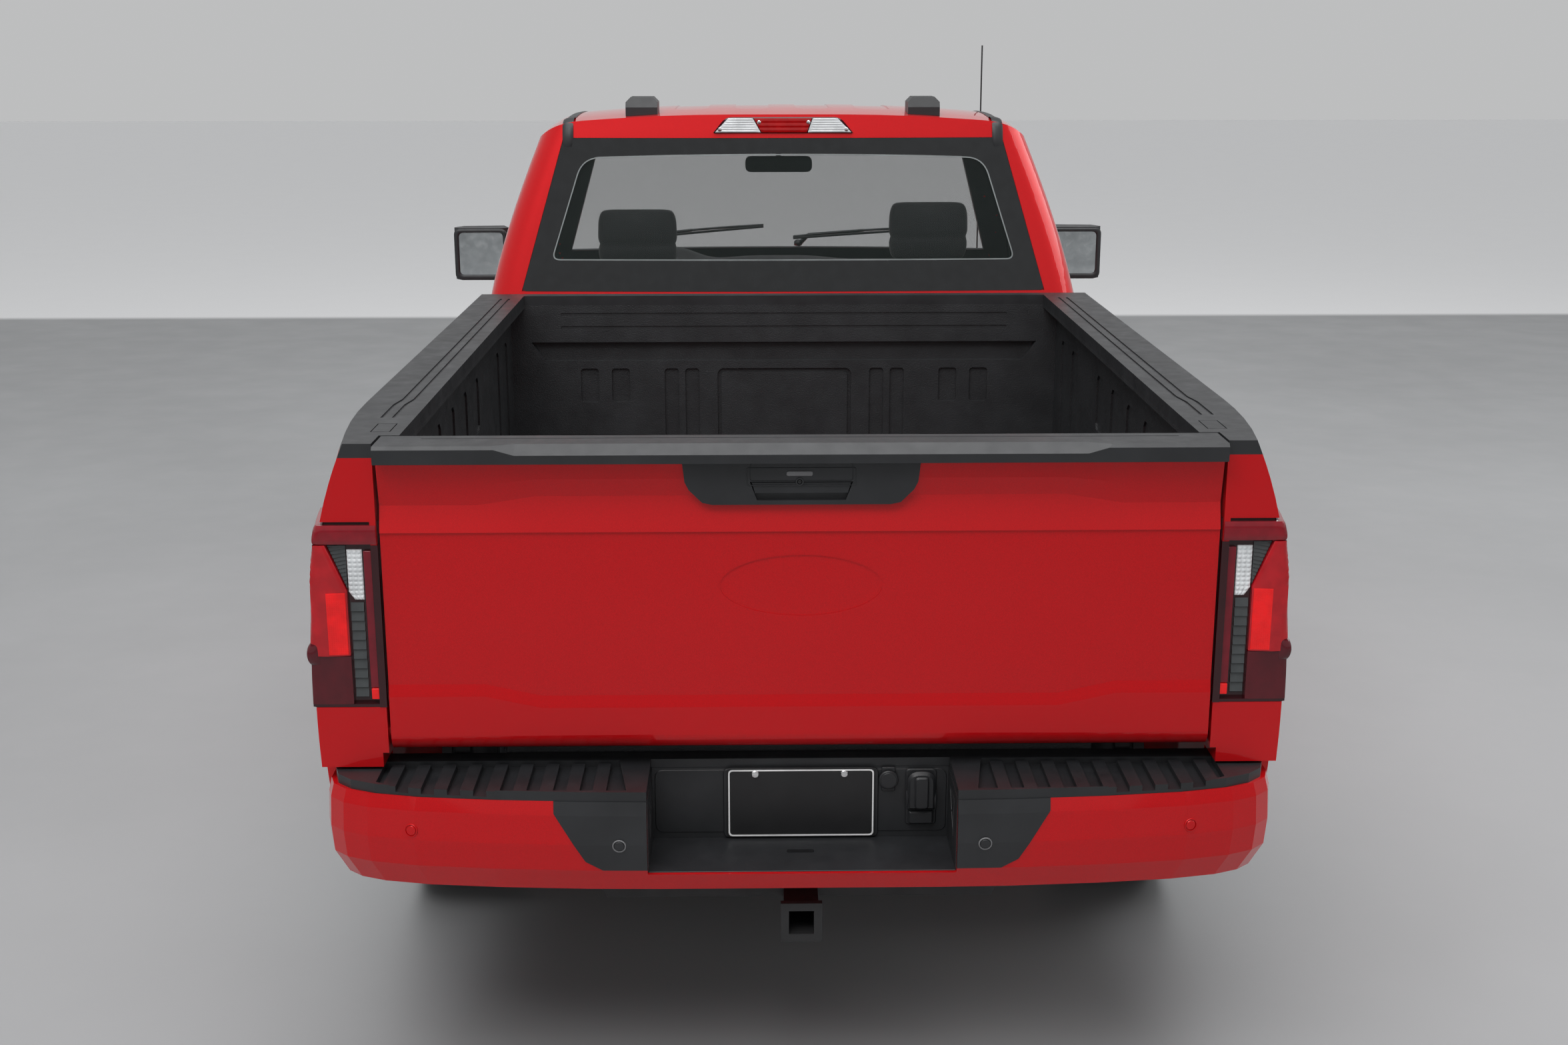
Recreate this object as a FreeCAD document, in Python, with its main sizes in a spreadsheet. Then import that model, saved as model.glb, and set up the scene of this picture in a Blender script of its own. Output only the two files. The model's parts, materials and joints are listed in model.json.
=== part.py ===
# Full-size pickup truck with a regular cab and a short open bed.
# Millimetres. +X is the truck's right, +Y forward, +Z up.
# The origin is on the ground under the middle of the whole vehicle.

import FreeCAD, Part
import math
import os
import Sketcher

# Driving sizes. Each is written once, and every piece is worked out from them.
SIZES = (
    # Whole vehicle
    ("overall_length", 5310),
    ("wheelbase", 3119),
    ("rear_overhang", 1237),
    ("body_half_width", 1003),
    ("panel_gap", 6),
    ("door_gap", 8),
    ("seat_gap", 0.3),
    ("overrun", 40),
    # Body section: heights, and insets from the widest point
    ("rocker_height", 430),
    ("low_crease_height", 640),
    ("high_crease_height", 1060),
    ("belt_height", 1335),
    ("rail_height", 1405),
    ("rocker_inset", 75),
    ("low_crease_inset", 10),
    ("high_crease_inset", 8),
    ("rail_inset", 84),
    ("shoulder", 52),
    ("rear_corner_taper", 38),
    ("rear_taper_length", 420),
    ("front_taper", 60),
    ("front_taper_length", 900),
    # Bed
    ("bed_length", 2004),
    ("bed_floor_height", 865),
    ("bed_half_width", 828),
    ("bed_skin", 10),
    ("bed_front_wall", 45),
    ("bed_sill_length", 70),
    ("rail_cap_thickness", 28),
    ("rail_cap_inner", 786),
    ("wheelhouse_half_gap", 643),
    ("wheelhouse_height", 232),
    ("wheelhouse_length", 980),
    ("cab_gap", 22),
    ("bed_rib_depth", 8),
    ("bed_rib_width", 60),
    ("bed_ledge_height", 1207),
    ("bed_header_height", 1264),
    ("rail_groove_width", 7),
    ("rail_groove_depth", 3),
    # Tailgate
    ("tailgate_thickness", 70),
    ("tailgate_half_width", 820),
    ("tailgate_bottom", 771),
    ("tailgate_cap_height", 35),
    ("tailgate_cap_lip", 32),
    ("handle_half_width", 231),
    ("handle_height", 88),
    ("handle_depth", 22),
    ("tailgate_brow", 8),
    ("tailgate_crease_drop", 143),
    ("tailgate_fold_drop", 91),
    ("tailgate_fold_rise", 18),
    ("tailgate_fold_depth", 14),
    ("tailgate_recess", 4),
    ("tailgate_low_crease", 889),
    ("tailgate_low_step", 25),
    ("badge_half_width", 160),
    ("badge_half_height", 62),
    ("badge_height", 1116),
    ("latch_half_width", 100),
    ("hinge_pin_radius", 12),
    ("hinge_pin_reach", 30),
    # Tail lamps
    ("lamp_bottom", 868),
    ("lamp_top", 1250),
    ("lamp_wrap", 150),
    ("lamp_proud", 7),
    # Rear bumper and hitch
    ("bumper_reach", 135),
    ("bumper_half_width", 957),
    ("bumper_bottom", 520),
    ("bumper_top", 735),
    ("bumper_depth", 220),
    ("step_height", 715),
    ("niche_half_width", 305),
    ("niche_depth", 180),
    ("niche_floor", 560),
    ("surround_half_width", 487),
    ("surround_foot_half_width", 417),
    ("surround_bottom", 571),
    ("step_tread_pitch", 52),
    ("hitch_outer", 70),
    ("hitch_bore", 51),
    ("hitch_centre_height", 424),
    ("hitch_length", 260),
    ("hitch_collar", 7),
    # Cab
    ("door_setback", 610),
    ("door_length", 1235),
    ("door_bottom", 500),
    ("door_top", 1850),
    ("door_skin", 20),
    ("door_thickness", 105),
    ("door_step", 20),
    ("hinge_barrel_radius", 3.2),
    ("hinge_barrel_length", 90),
    ("pillar_width", 160),
    ("window_border", 62),
    ("cab_floor_height", 655),
    ("cab_floor_thickness", 55),
    ("cab_back_wall", 60),
    ("roof_height", 1948),
    ("roof_wall", 40),
    ("glass_thickness", 5),
    ("glass_bond", 30),
    ("greenhouse_base", 1240),
    ("greenhouse_top", 1900),
    ("greenhouse_base_half", 938),
    ("greenhouse_top_half", 738),
    ("greenhouse_rear_lean", 132),
    ("greenhouse_corner", 90),
    ("rear_glass_bow", 25),
    ("windshield_bow", 90),
    ("header_from_axle", 1075),
    ("screen_base_from_axle", 455),
    ("screen_base_height", 1320),
    # Front body
    ("hood_front_height", 1205),
    ("hood_half_width", 787),
    ("hood_crown", 12),
    ("hood_thickness", 32),
    ("fender_wall", 40),
    ("nose_setback", 55),
    ("nose_face_depth", 60),
    ("grille_half_width", 600),
    ("grille_bottom", 740),
    ("grille_top", 1130),
    ("grille_bar", 34),
    ("headlamp_bottom", 850),
    ("headlamp_wrap", 280),
    ("headlamp_depth", 80),
    ("front_bumper_bottom", 400),
    ("front_bumper_top", 730),
    ("front_bumper_depth", 95),
    # Wheels
    ("tyre_radius", 405),
    ("tyre_width", 275),
    ("rim_radius", 262),
    ("rim_width", 230),
    ("rim_wall", 12),
    ("hub_radius", 90),
    ("hub_offset", 45),
    ("hub_length", 40),
    ("disc_radius", 168),
    ("disc_thickness", 24),
    ("spindle_radius", 34.95),
    ("hub_bore_radius", 35),
    ("track_half", 860),
    ("arch_radius", 475),
    ("arch_lip", 10),
    # Knuckles and front suspension
    ("kingpin_inset", 75),
    ("knuckle_half_height", 150),
    ("knuckle_width", 50),
    ("ball_pin_radius", 12),
    ("ball_hole_radius", 12.05),
    ("ball_pin_length", 40),
    ("arm_thickness", 28),
    ("arm_clearance", 5),
    # Frame
    ("rail_inner_x", 400),
    ("rail_outer_x", 480),
    ("rail_low", 440),
    ("rail_depth", 150),
    ("rail_rear_low", 560),
    ("rail_rear_depth", 140),
    # Engine, driveline and what hangs under the body
    ("engine_half_width", 290),
    ("engine_length", 650),
    ("engine_height", 600),
    ("gearbox_half_width", 150),
    ("gearbox_length", 900),
    ("driveshaft_radius", 45),
    ("axle_tube_radius", 50),
    ("differential_radius", 150),
    ("spring_half_width", 35),
    ("spring_leaf", 24),
    ("pipe_radius", 35),
    ("muffler_radius", 100),
    ("muffler_length", 520),
    ("spare_radius", 335),
    ("spare_width", 220),
    ("tank_length", 1050),
    ("tank_height", 180),
    # Cabin
    ("seat_half_width", 240),
    ("seat_centre", 455),
    ("seat_cushion_height", 320),
    ("seat_back_top", 1480),
    ("headrest_top", 1690),
    ("steering_wheel_radius", 190),
    ("steering_wheel_grip", 15),
    ("column_radius", 20),
    ("dash_depth", 190),
    # Mirrors, aerial and roof
    ("mirror_half_width", 1215.5),
    ("mirror_width", 205),
    ("mirror_height", 193),
    ("mirror_depth", 110),
    ("antenna_radius", 3),
    ("antenna_top", 2130),
    ("antenna_x", 810),
    ("antenna_from_axle", 250),
    ("roof_pod_half_width", 49),
    ("roof_pod_rise", 34),
    ("roof_groove_depth", 3),
    ("roof_groove_pitch", 190),
    ("handle_grip", 24),
    ("high_lamp_half_width", 215),
)

doc = FreeCAD.newDocument("pickup")
sheet = doc.addObject("Spreadsheet::Sheet", "sizes")
for row, (alias, value) in enumerate(SIZES, start=1):
    sheet.set(f"A{row}", alias.replace("_", " "))
    sheet.set(f"B{row}", str(value))
    sheet.setAlias(f"B{row}", alias)
doc.recompute()


class Size:
    """A length with its value now and the text that binds it to the sheet."""

    def __init__(self, value, text):
        self.value = value
        self.text = text

    def __float__(self):
        return float(self.value)

    def __add__(self, other):
        return combine(self, "+", other)

    def __radd__(self, other):
        return combine(other, "+", self)

    def __sub__(self, other):
        return combine(self, "-", other)

    def __rsub__(self, other):
        return combine(other, "-", self)

    def __mul__(self, other):
        return combine(self, "*", other)

    def __rmul__(self, other):
        return combine(other, "*", self)

    def __truediv__(self, other):
        return combine(self, "/", other)

    def __neg__(self):
        return Size(-self.value, f"(0 - {self.text})")


def text_of(item):
    return item.text if isinstance(item, Size) else repr(float(item))


def combine(left, sign, right):
    a, b = float(left), float(right)
    value = {"+": a + b, "-": a - b, "*": a * b, "/": a / b if b else 0.0}[sign]
    return Size(value, f"({text_of(left)} {sign} {text_of(right)})")


class Sizes:
    """Reads a driving size from the sheet by its alias."""

    def __getattr__(self, alias):
        return Size(float(sheet.get(alias)), f"sizes.{alias}")


s = Sizes()

# Stations along the truck
rear_end = -s.overall_length / 2
front_end = s.overall_length / 2
tail_face = rear_end + s.bumper_reach
tail_inner = tail_face + s.tailgate_thickness
bed_front_inner = tail_inner + s.bed_length
bed_front_outer = bed_front_inner + s.bed_front_wall
cab_back = bed_front_outer + s.cab_gap
rear_axle_y = rear_end + s.rear_overhang
front_axle_y = rear_axle_y + s.wheelbase
door_front = front_axle_y - s.door_setback
door_rear = door_front - s.door_length
fender_rear = door_front + s.door_gap
header_y = front_axle_y - s.header_from_axle
screen_base_y = front_axle_y - s.screen_base_from_axle
nose_y = front_end - s.nose_setback
bumper_front = rear_end + s.bumper_depth
gearbox_front = front_axle_y - s.engine_length * 0.4

# Heights and widths that several pieces share
tray_top = s.rail_height - s.rail_cap_thickness
bed_under = s.bed_floor_height - s.bed_skin * 2
rail_rear_top = s.rail_rear_low + s.rail_rear_depth
rail_top = s.rail_low + s.rail_depth
cab_under = s.cab_floor_height - s.cab_floor_thickness
far_x = s.body_half_width + s.overrun * 2
bed_outer_x = s.bed_half_width + s.bed_skin + s.seat_gap
engine_member_top = s.rail_low + s.overrun * 0.9
kingpin_x = s.track_half - s.kingpin_inset


# Plain shapes
def point(x, y, z):
    return FreeCAD.Vector(float(x), float(y), float(z))


def lines(points):
    path = list(points)
    path.append(path[0])
    return Part.makePolygon(path)


def box(x0, x1, y0, y1, z0, z1):
    return Part.makeBox(float(x1 - x0), float(y1 - y0), float(z1 - z0), point(x0, y0, z0))


def extrude_x(profile, x0, x1):
    """Side-view outline of (y, z) pairs, drawn out from x0 to x1."""
    wire = lines([point(x0, y, z) for y, z in profile])
    return Part.Face(wire).extrude(point(x1 - x0, 0, 0))


def extrude_y(profile, y0, y1):
    wire = lines([point(x, y0, z) for x, z in profile])
    return Part.Face(wire).extrude(point(0, y1 - y0, 0))


def extrude_z(profile, z0, z1):
    wire = lines([point(x, y, z0) for x, y in profile])
    return Part.Face(wire).extrude(point(0, 0, z1 - z0))


def cylinder_x(radius, x0, x1, y, z):
    return Part.makeCylinder(float(radius), float(x1 - x0), point(x0, y, z), point(1, 0, 0))


def cylinder_y(radius, y0, y1, x, z):
    return Part.makeCylinder(float(radius), float(y1 - y0), point(x, y0, z), point(0, 1, 0))


def cylinder_z(radius, z0, z1, x, y):
    return Part.makeCylinder(float(radius), float(z1 - z0), point(x, y, z0), point(0, 0, 1))


def mirrored(shape):
    return shape.mirror(point(0, 0, 0), point(1, 0, 0))


def both_sides(shape):
    return Part.makeCompound([shape, mirrored(shape)])


def spline(points):
    curve = Part.BSplineCurve()
    curve.interpolate(list(points))
    return curve.toShape()


def line(start, end):
    return Part.makeLine(start, end)


def arc(start, middle, end):
    return Part.Arc(start, middle, end).toShape()


def chain(corners, y):
    """Straight edges through (x, z) corners at one station."""
    path = [point(x, y, z) for x, z in corners]
    return [line(start, end) for start, end in zip(path, path[1:])]


def ruled(sections):
    """Ruled solid through closed sections."""
    return Part.makeLoft([lines(section) for section in sections], True, True)


def rounded_slab(x0, x1, z0, z1, radius, y0, y1):
    """Upright plate with rounded corners, seen from behind."""
    slab = box(x0, x1, y0, y1, z0, z1)
    edges = [
        edge for edge in slab.Edges
        if abs(edge.tangentAt(edge.FirstParameter).y) > 0.9
    ]
    return slab.makeFillet(float(radius), edges)


def piece(name, shape):
    """One sub-part made from a finished shape."""
    part = doc.addObject("Part::Feature", name)
    part.Label = name
    part.Shape = shape
    return part


def side_name(side):
    return "right" if side > 0 else "left"


def on_side(shape, side):
    """A right-hand shape, or its mirror image for the left."""
    return shape if side > 0 else mirrored(shape)


# Body side: one section, drawn in at the rear corner and towards the nose
def side_inset(y):
    rear_start = float(tail_face + s.rear_taper_length)
    front_start = float(nose_y - s.front_taper_length)
    station = float(y)
    if station < rear_start:
        return s.rear_corner_taper * ((rear_start - station) / float(s.rear_taper_length)) ** 2
    if station > front_start:
        return s.front_taper * ((station - front_start) / float(s.front_taper_length)) ** 2
    return s.rear_corner_taper * 0


def upper_inset(z):
    """Inset of the body side above its high crease."""
    share = float(z - s.high_crease_height) / float(s.rail_height - s.high_crease_height)
    return s.high_crease_inset + (s.rail_inset - s.high_crease_inset) * share * share


def lower_side(outer, y, bottom):
    """Right-hand side curves from the rocker up to the high crease."""
    low = (
        (outer - s.rocker_inset, bottom),
        (outer - s.rocker_inset * 0.35, bottom + (s.low_crease_height - bottom) * 0.45),
        (outer - s.low_crease_inset, s.low_crease_height),
    )
    middle = (
        (outer - s.low_crease_inset, s.low_crease_height),
        (outer, (s.low_crease_height + s.high_crease_height) / 2),
        (outer - s.high_crease_inset, s.high_crease_height),
    )
    return [spline(point(x, y, z) for x, z in run) for run in (low, middle)]


def side_section(inner_x, y, bottom, top, proud):
    """Closed right-hand section from inner_x out to the body side."""
    outer = s.body_half_width - side_inset(y) + proud
    middle = (s.high_crease_height + top) / 2
    high = [(outer - upper_inset(z), z) for z in (s.high_crease_height, middle, top)]
    edges = lower_side(outer, y, bottom)
    edges.append(spline(point(x, y, z) for x, z in high))
    corners = (high[-1], (inner_x, top), (inner_x, bottom), (outer - s.rocker_inset, bottom))
    return Part.Wire(edges + chain(corners, y))


def station_runs(y0, y1):
    """Runs of evenly spaced stations, split where the body side starts to draw in."""
    breaks = [float(tail_face + s.rear_taper_length), float(nose_y - s.front_taper_length)]
    ends = [float(y0)] + [y for y in breaks if float(y0) < y < float(y1)] + [float(y1)]
    runs = []
    for start, end in zip(ends, ends[1:]):
        straight = breaks[0] <= start and end <= breaks[1]
        count = 1 if straight else 4
        runs.append([start + (end - start) * index / count for index in range(count + 1)])
    return runs


def side_blank(inner_x, y0, y1, bottom, top, proud=0):
    """Solid right-hand body side between two stations."""
    blank = None
    for run in station_runs(y0, y1):
        wires = [side_section(inner_x, y, bottom, top, proud) for y in run]
        span = Part.makeLoft(wires, True, len(wires) == 2)
        blank = span if blank is None else blank.fuse(span)
    return blank.removeSplitter()


def arch_cut(axle_y, inner_x):
    return cylinder_x(s.arch_radius, inner_x, far_x, axle_y, s.tyre_radius)


def arch_flare(axle_y, floor):
    """Raised lip round a wheel arch, above the sill."""
    inner_x = s.body_half_width - s.arch_lip * 3
    large = s.arch_radius + s.arch_lip * 5
    small = s.arch_radius + s.arch_lip * 3
    lip = Part.makeCone(
        float(large), float(small), float(s.arch_lip * 4),
        point(inner_x, axle_y, s.tyre_radius), point(1, 0, 0),
    )
    sill = box(0, far_x, axle_y - large * 2, axle_y + large * 2, -large, floor)
    return lip.cut(sill)


# Bed
def make_bedsides():
    inner = bed_outer_x
    wall = side_blank(inner, tail_face, bed_front_outer, s.rocker_height + s.overrun, tray_top)
    wall = wall.fuse(arch_flare(rear_axle_y, s.low_crease_height))
    post_x = s.tailgate_half_width + s.panel_gap
    post_y = tail_inner + s.panel_gap - s.seat_gap
    post = box(post_x, inner + s.overrun, tail_face, post_y, s.tailgate_bottom, tray_top)
    axis_y = tail_face + s.tailgate_thickness / 2
    axis_z = s.tailgate_bottom + s.tailgate_thickness / 2
    pin = cylinder_x(s.hinge_pin_radius, post_x - s.hinge_pin_reach, inner, axis_y, axis_z)
    wall = wall.cut(arch_cut(rear_axle_y, inner - s.overrun))
    lamp_notch = box(
        inner, far_x, tail_face - s.overrun, tail_face + s.lamp_wrap, s.lamp_bottom, s.lamp_top
    )
    bumper_notch = box(0, far_x, rear_end, bumper_front + s.panel_gap, 0, s.bumper_top + s.panel_gap)
    post = post.cut(box(inner, far_x, rear_end, bumper_front, s.lamp_bottom, s.lamp_top))
    wall = wall.cut(lamp_notch).cut(bumper_notch).fuse(post).fuse(pin)
    return piece("bedsides", both_sides(wall.removeSplitter()))


def make_tail_lamps():
    bottom = s.rocker_height + s.overrun
    wall = side_blank(bed_outer_x, tail_face, bed_front_outer, bottom, tray_top, s.lamp_proud)
    gap = s.panel_gap / 3
    zone = box(
        bed_outer_x + s.seat_gap, far_x, tail_face - s.overrun, tail_face + s.lamp_wrap - gap,
        s.lamp_bottom + s.seat_gap, s.lamp_top - gap,
    )
    return piece("tail_lamps", both_sides(wall.common(zone)))


def wheelhouse(shrink, bottom):
    """Raised tub over a rear wheel, at the right-hand bed wall."""
    half = s.wheelhouse_length / 2 - shrink
    top = s.bed_floor_height + s.wheelhouse_height - shrink
    middle = s.bed_floor_height + s.wheelhouse_height * 0.4
    profile = (
        (rear_axle_y - half, bottom), (rear_axle_y + half, bottom),
        (rear_axle_y + half * 0.95, middle), (rear_axle_y + half * 0.6, top),
        (rear_axle_y - half * 0.6, top), (rear_axle_y - half * 0.95, middle),
    )
    return extrude_x(profile, s.wheelhouse_half_gap + shrink, s.bed_half_width)


def make_bed_box():
    half = s.bed_half_width
    outer = half + s.bed_skin
    y0 = tail_inner + s.panel_gap
    shape = box(-outer, outer, y0, bed_front_outer, bed_under, s.bed_floor_height)
    side = box(half, outer, y0, bed_front_outer, bed_under, tray_top)
    flange = box(s.rail_cap_inner, outer, y0, bed_front_inner, tray_top - s.bed_skin, tray_top)
    front = box(-outer, outer, bed_front_inner, bed_front_outer, bed_under, tray_top)
    tub = wheelhouse(s.seat_gap, bed_under)
    for solid in (side, flange, tub):
        shape = shape.fuse(solid).fuse(mirrored(solid))
    shape = shape.fuse(front)
    count = 5
    sill_half = s.wheelhouse_half_gap - s.overrun
    first = bumper_front + s.panel_gap
    for index in range(count):
        start = first + (bed_front_outer - first - s.bed_sill_length) * index / (count - 1)
        sill = box(
            -sill_half, sill_half, start, start + s.bed_sill_length,
            rail_rear_top + s.seat_gap, bed_under,
        )
        shape = shape.fuse(sill)
    void = wheelhouse(s.bed_skin, bed_under - s.overrun)
    shape = shape.cut(void).cut(mirrored(void))
    shape = shape.cut(floor_channels(y0)).cut(front_wall_forms()).cut(side_wall_forms())
    return piece("bed_box", shape.removeSplitter())


def floor_channels(y0):
    """Lengthwise channels pressed into the bed floor."""
    count = 8
    low = s.bed_floor_height - s.bed_rib_depth
    high = s.bed_floor_height + s.overrun
    half = s.wheelhouse_half_gap - s.bed_rib_width * 0.4
    channels = []
    for index in range(count):
        centre = -half + half * 2 * (index + 0.5) / count
        foot = s.bed_rib_width * 0.35
        mouth = s.bed_rib_width / 2 + s.overrun * 0.4
        outline = (
            (centre - foot, low), (centre + foot, low), (centre + mouth, high), (centre - mouth, high)
        )
        channels.append(extrude_y(outline, y0 + s.overrun, bed_front_inner - s.overrun))
    return Part.makeCompound(channels)


def front_wall_forms():
    """Undercut below the header and the pressings of the bed's front wall."""
    near = bed_front_inner - s.overrun
    deep = bed_front_inner + s.bed_front_wall * 0.5
    shallow = bed_front_inner + s.bed_skin * 0.8
    half = s.bed_half_width - s.overrun * 1.5
    ledge = s.bed_ledge_height
    undercut = extrude_y((
        (-half, s.bed_header_height), (half, s.bed_header_height),
        (half - s.overrun, ledge), (-half + s.overrun, ledge),
    ), near, deep)
    forms = [undercut]
    foot = s.bed_floor_height + s.overrun
    crown = ledge - s.overrun * 0.6
    radius = s.bed_skin
    panel = s.rail_cap_inner * 0.26
    frame_outer = rounded_slab(-panel, panel, foot, crown, radius * 2, near, shallow)
    rim = radius * 1.2
    frame_inner = rounded_slab(
        -panel + rim, panel - rim, foot + rim, crown - rim, radius, near - rim, shallow + rim
    )
    forms.append(frame_outer.cut(frame_inner))
    for start, width, low, high in (
        (0.33, 0.055, foot, crown), (0.41, 0.055, foot, crown),
        (0.60, 0.07, crown - s.overrun * 2.6, crown), (0.72, 0.07, crown - s.overrun * 2.6, crown),
        (0.52, 0.36, foot, foot + s.overrun * 1.8),
    ):
        x0 = s.rail_cap_inner * start
        slot = rounded_slab(x0, x0 + s.rail_cap_inner * width, low, high, radius, near, shallow)
        forms.append(slot)
        forms.append(mirrored(slot))
    for rise in (0.35, 0.7):
        z = s.bed_header_height + (tray_top - s.bed_header_height) * rise
        forms.append(rounded_slab(
            -s.rail_cap_inner * 0.86, s.rail_cap_inner * 0.86, z, z + radius, radius / 4, near,
            bed_front_inner + s.rail_groove_depth,
        ))
    return Part.makeCompound(forms)


def side_wall_forms():
    """Upright scallops pressed into both bed walls."""
    forms = []
    face = s.bed_half_width
    depth = s.bed_skin * 0.5
    crown = s.rail_height - s.overrun * 3
    tub_top = s.bed_floor_height + s.wheelhouse_height
    for share, low in (
        (0.04, s.bed_floor_height + s.overrun), (0.13, s.bed_floor_height + s.overrun),
        (0.30, tub_top + s.overrun), (0.40, tub_top + s.overrun), (0.50, tub_top + s.overrun),
        (0.60, tub_top + s.overrun), (0.80, s.bed_floor_height + s.overrun),
        (0.89, s.bed_floor_height + s.overrun),
    ):
        y = tail_inner + s.bed_length * share
        width = s.bed_length * 0.055
        ease = s.bed_skin * 1.5
        outline = (
            (y, low + ease), (y + ease, low), (y + width - ease, low), (y + width, low + ease),
            (y + width, crown - ease), (y + width - ease, crown), (y + ease, crown), (y, crown - ease),
        )
        scallop = extrude_x(outline, face - s.overrun, face + depth)
        forms.append(scallop)
        forms.append(mirrored(scallop))
    return Part.makeCompound(forms)


def make_rail_caps():
    def cap_section(y):
        outer = s.body_half_width - side_inset(y)
        return lines([
            point(s.rail_cap_inner, y, tray_top),
            point(outer - upper_inset(tray_top), y, tray_top),
            point(outer - upper_inset(s.rail_height), y, s.rail_height),
            point(s.rail_cap_inner, y, s.rail_height),
        ])

    cap = None
    for run in station_runs(tail_face, bed_front_outer):
        span = Part.makeLoft([cap_section(y) for y in run], True, True)
        cap = span if cap is None else cap.fuse(span)
    notch_x = s.tailgate_half_width + s.panel_gap
    notch = box(0, notch_x, rear_end, tail_inner + s.panel_gap, s.bed_floor_height, s.roof_height)
    cap = cap.cut(notch)
    inner = s.rail_cap_inner
    for groove in rail_grooves():
        cap = cap.cut(groove)
    front = box(-inner, inner, bed_front_inner, bed_front_outer, tray_top, s.rail_height)
    return piece("bed_rail_caps", cap.fuse(mirrored(cap)).fuse(front).removeSplitter())


def rail_grooves():
    """Two long kinked grooves and the outline of a pocket cover in the right-hand cap."""
    grooves = []
    width = s.rail_groove_width
    low = s.rail_height - s.rail_groove_depth
    high = s.rail_height + s.overrun
    start = tail_inner + s.bed_length * 0.09
    bend = tail_inner + s.bed_length * 0.16
    bend_end = tail_inner + s.bed_length * 0.19
    end = bed_front_inner - s.bed_length * 0.03
    for lane in (0.3, 0.52):
        x = s.rail_cap_inner + s.overrun * 2.7 * lane
        jog = x + width * 1.2
        plan = (
            (jog, start), (jog + width, start), (jog + width, bend), (x + width, bend_end),
            (x + width, end), (x, end), (x, bend_end), (jog, bend),
        )
        grooves.append(extrude_z(plan, low, high))
    cover_x = s.rail_cap_inner + s.overrun * 0.6
    cover_y = tail_inner + s.overrun
    outer = box(cover_x, cover_x + s.overrun, cover_y, cover_y + s.overrun * 2, low, high)
    rim = width / 3
    inner = box(
        cover_x + rim, cover_x + s.overrun - rim, cover_y + rim, cover_y + s.overrun * 2 - rim,
        low - rim, high + rim,
    )
    grooves.append(outer.cut(inner))
    return grooves


# Tailgate
def make_tailgate():
    half = s.tailgate_half_width
    radius = s.tailgate_thickness / 2
    axis_y = tail_face + radius
    axis_z = s.tailgate_bottom + radius
    top = s.rail_height - s.tailgate_cap_height
    shape = box(-half, half, tail_face, tail_inner, axis_z, top)
    shape = shape.fuse(cylinder_x(radius, -half, half, axis_y, axis_z))
    seat = extrude_y(bezel_outline(top, s.seat_gap), tail_face - s.overrun, tail_face + s.handle_depth)
    reach = s.hinge_pin_reach
    hole_radius = s.hinge_pin_radius + s.seat_gap / 6
    hole = cylinder_x(hole_radius, half - reach, half + reach, axis_y, axis_z)
    shape = shape.cut(seat).cut(hole).cut(mirrored(hole))
    for form in tailgate_forms(top):
        shape = shape.cut(form)
    return piece("tailgate_panel", shape.removeSplitter())


TAILGATE_BEND_SHARES = (-1, -0.767, -0.629, 0.629, 0.767, 1)


def tailgate_forms(top):
    """What is pressed in from the outer face: the folded brow, the field and the oval dish."""
    ends = s.tailgate_half_width + s.overrun
    brow = top - s.tailgate_brow
    crease = top - s.tailgate_crease_drop
    air = tail_face - s.overrun
    folds = []
    fields = []
    for share in TAILGATE_BEND_SHARES:
        x = ends if abs(share) == 1 else s.tailgate_half_width * abs(share)
        x = x if share > 0 else -x
        inside = abs(share) < 0.7
        lift = s.tailgate_fold_rise * (1 if inside else 0)
        fold = top - s.tailgate_fold_drop + lift
        upper = brow - (brow - fold) * (0.45 if inside else 0.5)
        upper_depth = s.tailgate_fold_depth * (0.25 if inside else 0.5)
        folds.append([
            point(x, tail_face, brow), point(x, tail_face + upper_depth, upper),
            point(x, tail_face + s.tailgate_fold_depth, fold), point(x, tail_face, crease),
            point(x, air, crease), point(x, air, brow),
        ])
        low = s.tailgate_low_crease - s.tailgate_low_step * (1 if inside else 0)
        depth = tail_face + s.tailgate_recess
        fields.append([
            point(x, depth, crease), point(x, depth, low + s.tailgate_low_step),
            point(x, tail_face, low), point(x, air, low), point(x, air, crease),
        ])
    centre = point(0, air, s.badge_height)
    ellipse = Part.Ellipse(
        centre, float(s.badge_half_width), float(s.badge_half_height)
    )
    turned = ellipse.toShape()
    turned.rotate(centre, point(1, 0, 0), 90)
    dish = Part.Face(Part.Wire([turned])).extrude(point(0, s.overrun + s.tailgate_recess * 1.5, 0))
    return ruled(folds), ruled(fields), dish


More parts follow.
